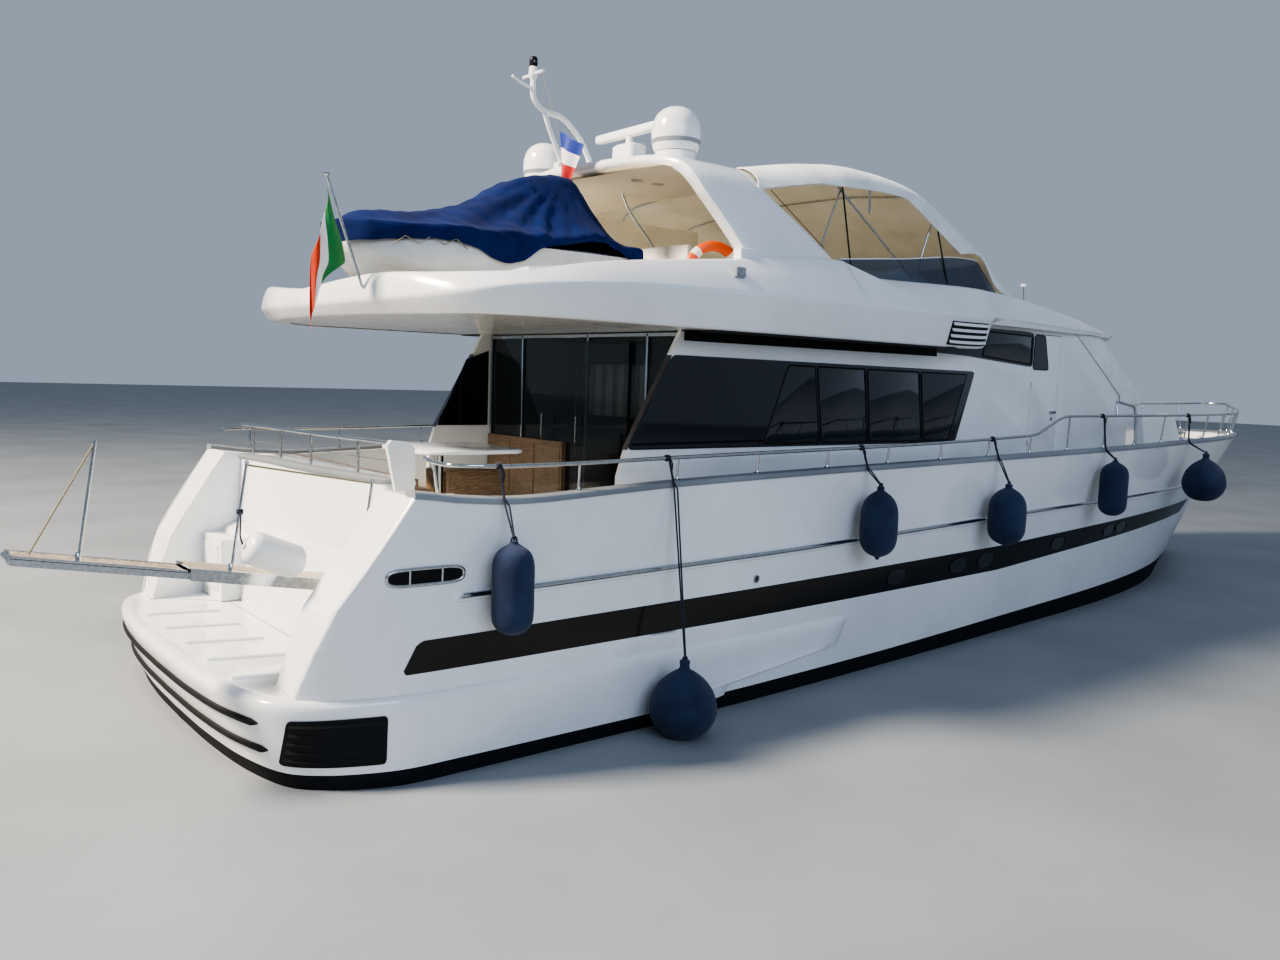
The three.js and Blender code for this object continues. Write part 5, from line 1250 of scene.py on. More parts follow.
lights.turned([(0.0, 0), (0.04, 0), (0.045, 0.015), (0.045, 0.08), (0.035, 0.1), (0.0, 0.105)],
              (-7.25, 0, 6.724), sides=20, mark=1)
lights.turned([(0.046, 0.03), (0.048, 0.045), (0.046, 0.06)], (-7.25, 0, 6.724), sides=20, mark=2)
piece("mast_lights", lights, [GELCOAT, BLACK_PLASTIC, SMOKED])

# %% [markdown]
# ## Canopy
# Acrylic cloth is stretched over bent stainless tubes behind the arch, down to the screen. The side curtains
# are rolled away, so the opening shows the tan lining, the tubes and the straps that hold the frame down.

# %% Canopy cloth
CANOPY = [  # x, lower edge, shoulder top, half breadth, crown, depth of the shoulder
    [-5.3497, 5.206, 5.65, 2.135, 0.06, 0.20], [-4.78, 4.79, 5.822, 2.31, 0.06, 0.24],
          [-4.18, 4.79, 5.86, 2.335, 0.06, 0.24],
    [-3.18, 4.92, 5.77, 2.335, 0.06, 0.24], [-2.43, 4.99, 5.44, 2.27, 0.19, 0.126],
          [-1.76, 5.035, 5.14, 2.19, 0.23, 0.04],
    [-1.26, 4.70, 4.90, 2.11, 0.21, 0.056], [-0.48, 4.59, 4.66, 1.90, 0.06, 0.024]]
# The edge that the cloth ends on above the open sides, from the arch forward; below it all is cut away.
HEM = [(-6.10, 5.30), (-5.80, 5.345), (-5.0, 5.50), (-3.99, 5.54), (-3.55, 5.53), (-3.12, 5.33),
       (-2.15, 4.955)]
canopy_table = smooth([row for row in CANOPY], 5)


def canopy_half(row, inset=0.0):
    """Half a section of the canopy, from its lower edge over the shoulder to the centreline."""
    x, low, top, half, crown, drop = row
    edge = [(half, low), (half, top - drop), (half * 0.93, top - drop * 0.42),
            (half * 0.86, top - drop * 0.19), (half * 0.45, top + crown * 0.78),
            (0, top + crown)]
    line = rounded([(y - (inset if y > 0 else 0), z - inset * (z > low), 0) for y, z in edge], 0.16, 5)
    stretch = np.cumsum([0, *np.linalg.norm(np.diff(line, axis=0), axis=1)])
    section = [[float(np.interp(a, stretch, line[:, k])) for k in (0, 1)]
               for a in np.linspace(0, stretch[-1], 40)]
    # At the arch the shoulder runs further aft than the roof, since the legs are narrower than the hardtop.
    back = 0.44 * min(max((-4.78 - x) / 0.57, 0), 1)
    return [(x - back * min(max((y - 1.1) / 0.7, 0), 1), -y, z) for y, z in section]


def canopy_breadth(x, z):
    """Half the canopy's breadth at a place along and a height on its side."""
    section = canopy_half([float(np.interp(x, canopy_table[:, 0], canopy_table[:, k])) if k else x
                           for k in range(6)])
    side = [(z, -y) for _, y, z in section[:20]]
    return read(side, z)


cloth = Shape()
rows = [canopy_half(row) for row in canopy_table]
# The inner side is the cream cloth, whose glow is painted light for the sun through the canvas.
cloth.shell([[*row, *[(x, -y, z) for x, y, z in row[-2::-1]]] for row in rows], 0.012, 0, lining=1)
canopy_cloth = piece("canopy_cloth", cloth, [WHITE_CANVAS, TAN_CANVAS], sharp=40,
                     stands_for=("canopy",))
cutter = Shape()
cutter.prism(rounded([*[(x, -2.6, z) for x, z in HEM], (-2.15, -2.6, 4.4), (-6.10, -2.6, 4.4)], 0.09, 5,
                     closed=True), (0, 5.2, 0))
cutter_mesh = bpy.data.meshes.new("cutter")
cutter_mesh.from_pydata(cutter.points, [], cutter.faces)
tool = bpy.data.objects.new("cutter", cutter_mesh)
bpy.context.collection.objects.link(tool)
cut = canopy_cloth.modifiers.new("opening", "BOOLEAN")
cut.operation, cut.object, cut.solver = "DIFFERENCE", tool, "EXACT"
bpy.context.view_layer.update()
canopy_faces_before = len(canopy_cloth.data.polygons)
opened = bpy.data.meshes.new_from_object(canopy_cloth.evaluated_get(bpy.context.evaluated_depsgraph_get()))
canopy_cloth.modifiers.clear()
canopy_cloth.data = opened
opened.shade_smooth()
opened.set_sharp_from_angle(angle=math.radians(40))
bpy.data.objects.remove(tool)
print("canopy opened,", canopy_faces_before, "to", len(opened.polygons), "faces")

# %% Tubes, straps, lining and white bindings of the canopy
frame_tubes = Shape()
for side in (-1, 1):
    for path in (((-4.70, 2.27, 5.50), (-3.18, 2.20, 4.63)), ((-2.86, 2.22, 5.40), (-3.14, 2.20, 4.63)),
                 ((-4.60, 2.24, 5.54), (-4.95, 2.27, 4.80))):
        frame_tubes.bar([(x, side * y, z) for x, y, z in path], 0.0125, 12, mark=0)
    for path in (((-4.66, 2.30, 5.50), (-4.42, 2.29, 4.58)), ((-2.84, 2.24, 5.38), (-2.46, 2.20, 4.62))):
        top, foot = (np.array([x, side * y, z]) for x, y, z in path)
        wide = np.array([0.012, 0, 0.004])
        frame_tubes.prism([top - wide, top + wide, foot + wide, foot - wide], (0, side * 0.003, 0), mark=1)
for row, share in ((canopy_table[10], 0.03), (canopy_table[16], 0.03)):
    arc = canopy_half(row, share)
    frame_tubes.bar([*arc[6:], *[(x, -y, z) for x, y, z in arc[-2:5:-1]]], 0.0125, 10, mark=0)
frame_tubes.bar(rounded([(-5.96, 0, 5.53), (-5.86, 0, 5.34), (-5.48, 0, 4.98), (-5.30, 0, 4.72),
                         (-5.30, 0, 3.981)], 0.12), 0.016, 12, mark=0)
piece("canopy_frame", frame_tubes, [STEEL, BLACK_PLASTIC])
binding = Shape()
for side in (-1, 1):
    hem = rounded([(x, 0, z) for x, z in HEM[1:]], 0.09, 5)
    hem = [a + (b - a) * t for a, b in zip(hem, hem[1:]) for t in (0, 0.34, 0.67)]
    binding.bar([(x, side * (canopy_breadth(x, z) - 0.004), z) for x, _, z in hem if x < -2.24], 0.010, 8,
                mark=0)
piece("canopy_binding", binding, WHITE_CANVAS)
# This lining is the cream cloth too, with the same painted glow.
curtain = Shape()
pleats = np.linspace(-5.2, -3.0, 90)
for y in (1.9,):
    curtain.shell([[(x, y + 0.022 * math.sin(x * 8 + 0.6 * math.sin(x * 5)) * (0.6 + 0.4 * k / 8),
                     4.62 + (5.55 - 4.62) * k / 8)
                    for x in pleats] for k in range(9)], 0.004)
piece("canopy_lining", curtain, TAN_CANVAS)

# %% Seat back on the upper deck and its lamp box
seat_back = Shape()
seat_back.block((-5.95, -1.22, 3.981), (-5.87, 0.16, 4.84), 0.03)
seat_back.block((-5.87, -1.22, 3.981), (-5.40, 0.16, 4.40), 0.04)
piece("upper_seat", seat_back, GELCOAT, sharp=45)
lamp_box = Shape()
lamp_box.block((-6.52, -2.61, 4.345), (-6.385, -2.50, 4.45), 0.02, mark=0)
lamp_box.block((-6.50, -2.616, 4.365), (-6.405, -2.61, 4.43), 0.0, mark=2)
lamp_box.bar(rounded([(-6.45, -2.57, 4.35), (-6.45, -2.57, 4.27), (-6.44, -2.57, 4.235),
                      (-6.42, -2.57, 4.25)], 0.01), 0.006, 8, mark=1)
piece("deck_lamp", lamp_box, [CAP_GREY, BLACK_PLASTIC, STEEL])

# %% [markdown]
# ## Cover of the windscreen
# In harbour the wheelhouse windscreen wears a canvas cover, so the saloon stays cool and private. It is
# buttoned along its edges and lies in shallow wrinkles between the buttons.

# %% Windscreen cover
FRONT_BASE = [[2.881, 2.02], [3.6, 1.82], [4.3, 1.45], [4.85, 0.9], [5.1, 0]]
FRONT_TOP = [[1.401, 2.02], [2.1, 1.85], [2.8, 1.48], [3.3, 0.95], [3.55, 0]]
front_base, front_top = (smooth([(x, y, 0) for x, y in plan], 8) for plan in (FRONT_BASE, FRONT_TOP))


def front_place(k, z, out):
    """A point over the curved front of the deckhouse, moved forward and out by `out`."""
    t = min(max((z - 3.29) / 0.9, 0.0), 1.0)
    p = front_base[k] * (1 - t) + front_top[k] * t
    n = np.array([0.75, 0.66 * min(1, p[1] / 1.2), 0])
    return np.array([p[0] + n[0] * out, -(p[1] + n[1] * out), z])


cover = Shape()
heights = np.linspace(3.17, 4.185, 16)
cover_rows = []
for z in heights:
    row = []
    for k in range(len(front_base)):
        wrinkle = 0.008 * math.sin(k * 1.9 + z * 9) + 0.006 * math.sin(k * 0.8 - z * 17)
        row.append(front_place(k, z, 0.05 + wrinkle))
    # Its after edge is wrapped back on to the cabin's side.
    start = row[0]
    row[:0] = [np.array([start[0] - back, -(2.021 + out), z])
               for back, out in ((0.34, 0.012), (0.22, 0.018), (0.10, 0.03))]
    cover_rows.append(row)
cover.shell(cover_rows[::-1], 0.006)
piece("windscreen_canvas", cover.mirrored(), WHITE_CANVAS, sharp=60,
      stands_for=("windscreen_cover",))
print("upper works dressed")

# %% [markdown]
# ## Rails
# The side rails are stainless tube on short posts, each post with a round foot screwed to the cap. At the
# step up to the foredeck the rail climbs and becomes the pulpit.

# %% Rails
RAIL_HEIGHT = eased([[-9.8, 2.57], [-9, 2.56], [-7.2, 2.59], [-1, 2.74], [-0.1, 2.995], [5.8, 3.03],
                     [9.5, 3.11], [11.15, 3.18]])
POSTS = [-9.5, -8.37, -7.22, -6.14, -5.07, -4.02, -3.01, -1.99, -1.02, -0.06, 0.96, 1.9, 2.85, 3.8, 4.75,
         5.7]
PULPIT_POSTS = [6.7, 7.7, 8.7, 9.7, 10.5]
CAP_UP = 0.0465


def rail_half(x):
    return DECK_PLAN(x) - 0.055 + 0.06 * min(max(x, 0), 6) / 6 + 0.03 * min(max(x - 6, 0), 5.15) / 5.15


def rail_post(shape, x, mark=0):
    """A post from its foot on the cap to the rail, with a round base plate."""
    y, z = DECK_PLAN(x) - 0.07, CAP_LINE(x) + CAP_UP
    shape.bar([(x, y, z), (x, y, z + 0.03), (x, rail_half(x), RAIL_HEIGHT(x))], 0.0125, 12, mark=mark)
    shape.turned([(0.0, 0.0), (0.036, 0.0), (0.036, 0.005), (0.02, 0.012), (0.015, 0.03)], (x, y, z),
                 sides=20, mark=mark)


side_line = [(x, rail_half(x), RAIL_HEIGHT(x)) for x in np.linspace(-9.2, 5.95, 90)]
# On the gangway's side the rail turns in to the pillar; on the other it runs to the quarter's edge.
AFT_ENDS = {"starboard": [(-9.46, 1.82), (-9.56, 2.14), (-9.60, 2.48), (-9.40, 2.62)],
            "port": [(-9.90, 2.35), (-9.86, 2.50), (-9.70, 2.62)]}
for side, side_name in SIDES:
    rail = Shape()
    aft_end = rounded([*[(x, y, RAIL_HEIGHT(-9.6)) for x, y in AFT_ENDS[side_name]], side_line[0]], 0.16, 6)
    rail.bar([*aft_end, *side_line[1:]], 0.019, 16)
    for x in POSTS[1 if side < 0 else 0:]:
        rail_post(rail, x)
    if side < 0:
        rail.bar([(-9.52, 2.19, 2.30), (-9.56, 2.19, RAIL_HEIGHT(-9.6))], 0.0175, 14)
    if side < 0:
        rail.points = [(x, -y, z) for x, y, z in rail.points]
    piece(f"rail_{side_name}_tubes", rail, STEEL, sharp=50, stands_for=(f"rail_{side_name}",))
pulpit = Shape()
bow_half = [(x, rail_half(x), RAIL_HEIGHT(x)) for x in np.linspace(6.0, 10.7, 24)]
nose = rounded([bow_half[-1], (11.15, 0.28, 3.18), (11.15, -0.28, 3.18),
                (bow_half[-1][0], -bow_half[-1][1], bow_half[-1][2])], 0.25, 6)
pulpit.bar([*bow_half[:-1], *nose, *[(x, -y, z) for x, y, z in bow_half[-2::-1]]], 0.019, 16)
for x in PULPIT_POSTS:
    half = Shape()
    rail_post(half, x)
    half.mirrored()
    pulpit.add(half.points, half.faces)
piece("pulpit_tubes", pulpit, STEEL, sharp=50, stands_for=("pulpit",))

# %% Transom rail
transom_rail = Shape()
TRANSOM_TOP = [(-9.70, 2.25, 2.64), (-9.68, 1.95, 2.64), (-9.60, 1.30, 2.64), (-9.56, 0.53, 2.64),
               (-9.45, -0.4, 2.64),
               (-9.37, -1.0, 2.64)]
TRANSOM_FOOT = 2.2903
curve = smooth(TRANSOM_TOP, 8)
transom_rail.bar(rounded([*curve[::4], (-9.37, -1.0, TRANSOM_FOOT)], 0.10, 5), 0.019, 16)
for x, y, z in TRANSOM_TOP[1:-1]:
    transom_rail.bar([(x, y, TRANSOM_FOOT), (x, y, z)], 0.015, 12)
for x, y, z in TRANSOM_TOP[1:]:
    transom_rail.turned([(0.0, 0.0), (0.034, 0.0), (0.034, 0.005), (0.018, 0.012)], (x, y, TRANSOM_FOOT),
                        sides=20)
transom_rail.bar(curve[8:] - np.array([0, 0, 0.17]), 0.004, 8)
piece("transom_rail_tubes", transom_rail, STEEL, sharp=50, stands_for=("transom_rail",))

# %% [markdown]
# ## Fenders
# Fenders are blow-moulded vinyl, pumped up until hard. The dark ones wear knitted sleeves with a gathered
# neck; each hangs from a lanyard taken round the rail with a clove hitch.

# %% Fenders
FENDERS = [("fender_1", -9.2, 0.175, 1.19, 1.97, "long"), ("fender_2", -7.36, 0.32, -0.02, 0.72, "ball"),
           ("fender_3", -4.52, 0.205, 1.42, 2.23, "pear"), ("fender_4", -1.93, 0.23, 1.35, 2.15, "pear"),
           ("fender_5", 0.83, 0.19, 1.59, 2.38, "long"), ("fender_6", 3.75, 0.32, 1.66, 2.42, "ball")]
PROFILES = {
    "long": [(0, 0), (0.30, 0.006), (0.55, 0.03), (0.80, 0.075), (0.95, 0.14), (1, 0.22), (1, 0.5),
             (1, 0.72), (0.95, 0.80), (0.82, 0.87),
             (0.6, 0.92), (0.35, 0.955), (0.2, 0.98), (0.2, 1.0), (0, 1.0)],
    "pear": [(0, 0), (0.09, 0.004), (0.12, 0.03), (0.34, 0.055), (0.64, 0.10), (0.86, 0.17), (0.97, 0.25),
             (1, 0.34), (1, 0.60), (0.95, 0.71),
             (0.8, 0.81), (0.55, 0.885), (0.3, 0.93), (0.18, 0.955), (0.2, 0.98), (0.17, 1.0), (0, 1.0)],
    "ball": [(0, 0), (0.3, 0.01), (0.6, 0.06), (0.85, 0.17), (0.98, 0.3), (1, 0.38), (0.96, 0.5),
             (0.84, 0.63), (0.6, 0.76), (0.32, 0.85),
             (0.17, 0.89), (0.14, 0.94), (0.155, 0.97), (0.14, 1.0), (0, 1.0)]}
for name, x, radius, low, high, kind in FENDERS:
    levels = [min(low + (high - low) * k, 2.4) for k in (0, 0.2, 0.4, 0.6, 0.8, 1)]
    hull_side = max(-side_place(x - radius * 0.7, max(z, 0.0))[1] for z in levels)
    clear_of_belt = 0.04 if x < -4.45 else 0.02
    y = -(hull_side + clear_of_belt + 0.01 + radius)
    body_profile = smooth([(r * radius, z * (high - low), 0) for r, z in PROFILES[kind]], 3)
    fender = Shape()
    rows = []
    for r, z, _ in body_profile:
        ring = []
        for k in range(40):
            a = 2 * math.pi * k / 40
            neck = 0.035 * math.sin(a * 9) * max(0.0, (z / (high - low) - 0.7))
            sag = 0.012 * math.sin(a * 5 + z * 9) * max(0, 0.3 - z)
            gather = neck + sag
            ring.append((x + r * (1 + gather) * math.cos(a), y + r * (1 + gather) * math.sin(a), low + z))
        rows.append(ring)
    fender.grid(rows, around=True, ends=True, mark=0)
    fender.bar([(x + 0.026 * math.cos(a), y, high + 0.012 + 0.026 * math.sin(a))
                for a in (2 * math.pi * k / 16 for k in range(16))], 0.008, 8,
               mark=1, loop=True)
    edge = read(DECK_TABLE, x) + 0.03
    rail_y = rail_half(x)
    rope = rounded([(x, y, high + 0.01), (x, max(-edge - 0.025, y), CAP_LINE(x)),
                    (x, -edge + 0.002, CAP_LINE(x) + 0.075),
                    (x, -rail_y - 0.022, RAIL_HEIGHT(x) - 0.01)], 0.03, 4)
    fender.bar(rope, 0.008, 10, mark=1)
    # The tail comes back from the hitch to the eye.
    tail = [p + np.array([0.034 * math.sin(math.pi * min(1, k / (len(rope) - 1) + 0.5)) if k else 0.0,
                          -0.010, 0]) for k, p in enumerate(rope)]
    fender.bar(tail, 0.008, 10, mark=1)
    for shift in (-0.014, 0.0, 0.014):
        fender.bar([(x + shift, -rail_y + 0.026 * math.cos(a), RAIL_HEIGHT(x) + 0.026 * math.sin(a))
                    for a in (2 * math.pi * k / 14 for k in range(14))],
                   0.0075, 8, mark=1, loop=True)
    fender.bar(smooth([(x + 0.02, -rail_y - 0.026, RAIL_HEIGHT(x) - 0.01),
                       (x + 0.035, -rail_y - 0.034, RAIL_HEIGHT(x) - 0.06),
                       (x + 0.028, -rail_y - 0.036, RAIL_HEIGHT(x) - 0.13)], 4), 0.0075, 8, mark=1)
    piece(name + "_dressed", fender, [FLEECE, DARK_ROPE], sharp=60, stands_for=(name,))

# %% [markdown]
# ## Gangway
# The passerelle is a stainless frame with a second one sliding in it, decked with narrow teak slats. Posts
# with a cord between them make its handrail; it hangs out over the quay on its hinge at the transom.

# %% Gangway
PASS_X, PASS_Z, PASS_RISE, PASS_Y0, PASS_Y1 = -9.85, 1.40, 0.178, -1.59, -1.16


def gangway_z(x):
    return PASS_Z + (PASS_X - x) * PASS_RISE


def gangway_beam(shape, x0, x1, y0, y1, low, high, mark=0):
    shape.prism([(x0, y0, gangway_z(x0) + low), (x0, y0, gangway_z(x0) + high),
                 (x1, y0, gangway_z(x1) + high), (x1, y0, gangway_z(x1) + low)],
                (0, y1 - y0, 0), mark)


outer_frame = Shape()
for y in (PASS_Y0, PASS_Y1 - 0.04):
    gangway_beam(outer_frame, -11.35, -9.87, y, y + 0.04, -0.045, 0.055)
gangway_beam(outer_frame, -11.35, -9.88, PASS_Y0 + 0.04, PASS_Y1 - 0.04, 0.035, 0.043)
outer_frame.turned([(0.0, 0), (0.06, 0), (0.06, 0.43), (0.0, 0.43)], (PASS_X, PASS_Y0, PASS_Z),
                   axis=(0, 1, 0), sides=28)
for x in (-11.04, -9.96):
    outer_frame.bar(rounded([(x, PASS_Y0 + 0.015, gangway_z(x) + 0.04),
                             (x + 0.13, PASS_Y0 + 0.015, gangway_z(x) + 0.93)], 0.01), 0.0125, 12)
    outer_frame.turned([(0.02, 0), (0.02, 0.06), (0.014, 0.07)], (x, PASS_Y0 + 0.015, gangway_z(x) + 0.05),
                       sides=14)
    outer_frame.turned([(0.0, 0), (0.016, 0.004), (0.018, 0.016), (0.012, 0.03), (0, 0.034)],
                       (x + 0.13, PASS_Y0 + 0.015, gangway_z(x) + 0.92), sides=14)
piece("passerelle_frame", outer_frame, STEEL, body="passerelle_body", sharp=40,
      stands_for=("passerelle",))
inner_frame = Shape()
gangway_beam(inner_frame, -12.56, -10.85, PASS_Y0 + 0.0403, PASS_Y1 - 0.0403, -0.04, 0.014)
for y in (PASS_Y0 + 0.0403, PASS_Y1 - 0.0703):
    gangway_beam(inner_frame, -12.56, -11.36, y, y + 0.03, 0.010, 0.031)
inner_frame.bar(rounded([(-12.13, PASS_Y0 + 0.065, gangway_z(-12.13) + 0.02),
                         (-12.0, PASS_Y0 + 0.065, gangway_z(-12.13) + 0.93)], 0.01), 0.0125, 12)
inner_frame.turned([(0.02, 0), (0.02, 0.06), (0.014, 0.07)],
                   (-12.13, PASS_Y0 + 0.065, gangway_z(-12.13) + 0.03), sides=14)
inner_frame.bar([(-12.56, PASS_Y0 + 0.06, gangway_z(-12.56) - 0.01),
                 (-12.56, PASS_Y1 - 0.06, gangway_z(-12.56) - 0.01)], 0.03, 16)
piece("passerelle_slide_frame", inner_frame, STEEL, body="passerelle_slide_body", sharp=40,
      stands_for=("passerelle_slide",))
board = Shape()
board.block((-0.020, -0.172, 0), (0.020, 0.172, 0.012), 0.006)
repeated("gangway_slats", board, 29, (-9.94, -1.375, gangway_z(-9.94) + 0.0435),
         (-0.048, 0, 0.048 * PASS_RISE), TEAK, body="passerelle_body")
short_board = Shape()
short_board.block((-0.020, -0.135, 0), (0.020, 0.135, 0.012), 0.006)
repeated("gangway_outer_slats", short_board, 24, (-11.40, -1.375, gangway_z(-11.40) + 0.015),
         (-0.048, 0, 0.048 * PASS_RISE), TEAK,
         body="passerelle_slide_body")

# %% White fender slung under the gangway
slung = Shape()
SLUNG_CENTRE = np.array([-10.745, -1.735, 1.80])
SLUNG_LEAN = math.radians(-67)
SLUNG_R, SLUNG_HALF = 0.14, 0.255
slung_way = np.array([math.sin(SLUNG_LEAN), 0, math.cos(SLUNG_LEAN)])
slung_profile = [(0.0, 0.0), (0.3, 0.006), (0.62, 0.03), (0.86, 0.08), (0.98, 0.15), (1.0, 0.22),
                 (1.0, 0.5), (1.0, 0.78), (0.98, 0.85),
                 (0.86, 0.92), (0.62, 0.97), (0.3, 0.994), (0.22, 1.0), (0.2, 1.03), (0.0, 1.035)]
slung_rings = [(r * SLUNG_R, (2 * t - 1) * SLUNG_HALF)
               for r, t, _ in smooth([(r, t, 0) for r, t in slung_profile], 3)]
slung.turned(slung_rings, SLUNG_CENTRE, axis=slung_way, sides=40, mark=0)
slung_end = SLUNG_CENTRE + slung_way * (SLUNG_HALF + 0.02)
knot = np.array([-10.967, PASS_Y0 + 0.015, 2.15])
slung.bar(rounded([slung_end, slung_end + (-0.01, 0.03, 0.06), knot + (0, -0.024, 0)], 0.03), 0.007, 10,
          mark=1)
for shift in (-0.014, 0.0, 0.014):
    slung.bar([knot + (0.022 * math.cos(a), 0.022 * math.sin(a), shift)
               for a in (2 * math.pi * k / 16 for k in range(16))], 0.007, 8, mark=1, loop=True)
piece("fender_7_dressed", slung, [FENDER_VINYL, DARK_ROPE], body="passerelle_body",
      sharp=60, stands_for=("fender_7",))

# %% Gangway cords, taut between the post heads
cords = Shape()
heads = [(-9.83, PASS_Y0 + 0.015, gangway_z(-9.96) + 0.915),
         (-10.91, PASS_Y0 + 0.015, gangway_z(-11.04) + 0.915)]
cords.bar(heads, 0.009, 8)
piece("passerelle_cord", cords, CREAM_ROPE, body="passerelle_body", sharp=60)
outer_cord = Shape()
outer_cord.bar([(-12.0, PASS_Y0 + 0.065, gangway_z(-12.13) + 0.92),
                (-12.45, PASS_Y0 + 0.065, gangway_z(-12.45) + 0.05)], 0.007, 8)
piece("passerelle_stay", outer_cord, CREAM_ROPE, body="passerelle_slide_body", sharp=60)

# %% [markdown]
# ## Tender
# An inflatable dinghy rides on the upper deck, keel on its chocks. Its tubes are welded hypalon; the cover
# is tented over the console and seat, drawn down by a lace through eyelets along its hem.

# %% Tender tubes and cover
tender = Shape()
TUBE_R = 0.205
tube_plan = [(-6.55, 0.53), (-7.4, 0.53), (-8.4, 0.53), (-9.1, 0.47), (-9.55, 0.24), (-9.68, 0.0)]
for side in (-1, 1):
    path = smooth([(x, -0.70 + side * y, 4.40 + 0.05 * max(0, (-8.4 - x))) for x, y in tube_plan], 7)
    radii = [TUBE_R * (0.55 + 0.45 * min(1, (p[0] + 9.9) / 0.9)) for p in path]
    tender.bar(path, radii, 24)
piece("tender_tubes", tender, HYPALON, sharp=60)
COVER = [  # x, half breadth, hem height, ridge height
    [-9.90, 0.10, 4.47, 4.57], [-9.66, 0.42, 4.49, 4.76], [-9.10, 0.66, 4.53, 4.83],
         [-8.80, 0.72, 4.50, 4.90], [-8.52, 0.76, 4.38, 4.99],
    [-8.28, 0.77, 4.40, 5.115], [-8.05, 0.775, 4.55, 5.24], [-7.83, 0.775, 4.60, 5.33],
         [-7.37, 0.78, 4.68, 5.385], [-7.15, 0.78, 4.62, 5.16],
    [-6.92, 0.78, 4.50, 4.83], [-6.80, 0.76, 4.42, 4.56]]
PEAK, TENDER_Y, SHOULDER = np.array([-7.45, 5.45]), -0.70, 4.66
cover_rows = []
cover_table = smooth(COVER, 9)
for x, half, hem, ridge in cover_table:
    row = []
    for k in range(65):
        across = -1 + 2 * k / 64
        reach = abs(across)
        shoulder = max(SHOULDER, hem + 0.06)
        if reach < 0.2:
            y, z = across / 0.2 * half * 0.28, ridge - 0.02 * (reach / 0.2) ** 2
        elif reach < 0.80:
            t = (reach - 0.2) / 0.6
            y = math.copysign(half * (0.28 + 0.72 * t ** 0.9), across)
            z = (ridge - 0.02) * (1 - t) + shoulder * t - 0.07 * math.sin(math.pi * t) * min(1,
                (ridge - 4.6) / 0.4)
        else:
            t = (reach - 0.80) / 0.20
            y = math.copysign(half * (1 + 0.012 * math.sin(math.pi * t)), across)
            z = shoulder * (1 - t) + hem * t
        # Folds radiate from the peak; they are deepest between it and the hem.
        ray = math.atan2(z - PEAK[1], x - PEAK[0])
        far = math.hypot(z - PEAK[1], x - PEAK[0])
        deep = 0.036 * min(1, far / 0.5) * min(1, 2.2 / (0.8 + far)) * min(1,
            reach / 0.15) * (1.2 - 0.7 * max(0, reach - 0.75) / 0.25)
        crease = abs(math.sin(ray * 15 + 0.5 * math.sin(ray * 5 + far))) - 0.5
        fold = deep * crease + 0.006 * math.sin(x * 31 - reach * 17)
        row.append((x, TENDER_Y + y + math.copysign(fold * (0.3 + 0.7 * reach), across),
                    z + fold * (1 - 0.6 * reach)))
    cover_rows.append(row)
tented = Shape()
tented.shell(cover_rows[::-1], 0.008)
piece("tender_canvas", tented, BLUE_CANVAS, sharp=60, stands_for=("tender_cover",))
lacing = Shape()
for side in (-1, 1):
    zigzag = []
    for number, x in enumerate(np.arange(-9.5, -8.75, 0.11)):
        half = float(np.interp(x, cover_table[:, 0], cover_table[:, 1]))
        hem = float(np.interp(x, cover_table[:, 0], cover_table[:, 2]))
        zigzag.append((x, TENDER_Y + side * (half + 0.016), hem + (0.025 if number % 2 else -0.045)))
    lacing.bar(zigzag, 0.005, 6)
piece("tender_lacing", lacing, CREAM_ROPE, sharp=60)

# %% [markdown]
# ## Ensign
# The ensign hangs from its staff in two or three heavy folds, since there is hardly any wind. It is a sheet
# whose points a formula gives: the hoist runs down beside the staff and the fly falls from it in folds.

# %% Ensign and staff
staff = Shape()
STAFF = [(-9.65, -1.25, 3.9803), (-9.65, -1.25, 4.015), (-9.79, -1.25, 4.05), (-10.12, -1.25, 4.975)]
staff.bar(rounded(STAFF, 0.03, 5), 0.0135, 14, mark=0)
staff.turned([(0.0, 0.0), (0.035, 0.0), (0.035, 0.006), (0.02, 0.012)], (-9.65, -1.25, 3.9803), sides=20,
             mark=0)
staff.turned([(0.0, 0), (0.02, 0.004), (0.026, 0.014), (0.026, 0.026), (0.0, 0.036)],
             (-10.12, -1.25, 4.965), sides=18, mark=0)
piece("ensign_staff_tube", staff, STEEL, sharp=50, stands_for=("ensign_staff",))


def hung_flag(name, across, drop, cloth, stands_for=()):
    """A flag as a sheet: `across` maps a share of the fly and of the hoist to a point."""
    wide, high = 40, 44
    points = [across(i / wide, j / high) for j in range(high + 1) for i in range(wide + 1)]
    faces = [(j * (wide + 1) + i, j * (wide + 1) + i + 1, (j + 1) * (wide + 1) + i + 1,
              (j + 1) * (wide + 1) + i)
             for j in range(high) for i in range(wide)]
    mesh = bpy.data.meshes.new(name)
    mesh.from_pydata([tuple(map(float, p)) for p in points], [], faces)
    fly = mesh.uv_layers.new(name="fly")
    for loop in mesh.loops:
        number = loop.vertex_index
        fly.data[loop.index].uv = ((number % (wide + 1)) / wide, (number // (wide + 1)) / high)
    mesh.materials.append(cloth)
    mesh.shade_smooth()
    flag = bpy.data.objects.new(name, mesh)
    bpy.context.collection.objects.link(flag)
    thick = flag.modifiers.new("cloth", "SOLIDIFY")
    thick.thickness = 0.002
    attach(flag, "yacht")
    if stands_for:
        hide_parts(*stands_for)
    return flag


FOLD_LEFT = eased([[0.0, -10.17], [0.3, -10.225], [0.6, -10.255], [0.85, -10.26], [1.0, -10.235]])
FOLD_RIGHT = eased([[0.0, -10.115], [0.2, -10.05], [0.38, -9.975], [0.5, -9.95], [0.62, -10.05],
                    [0.85, -10.12], [1.0, -10.16]])


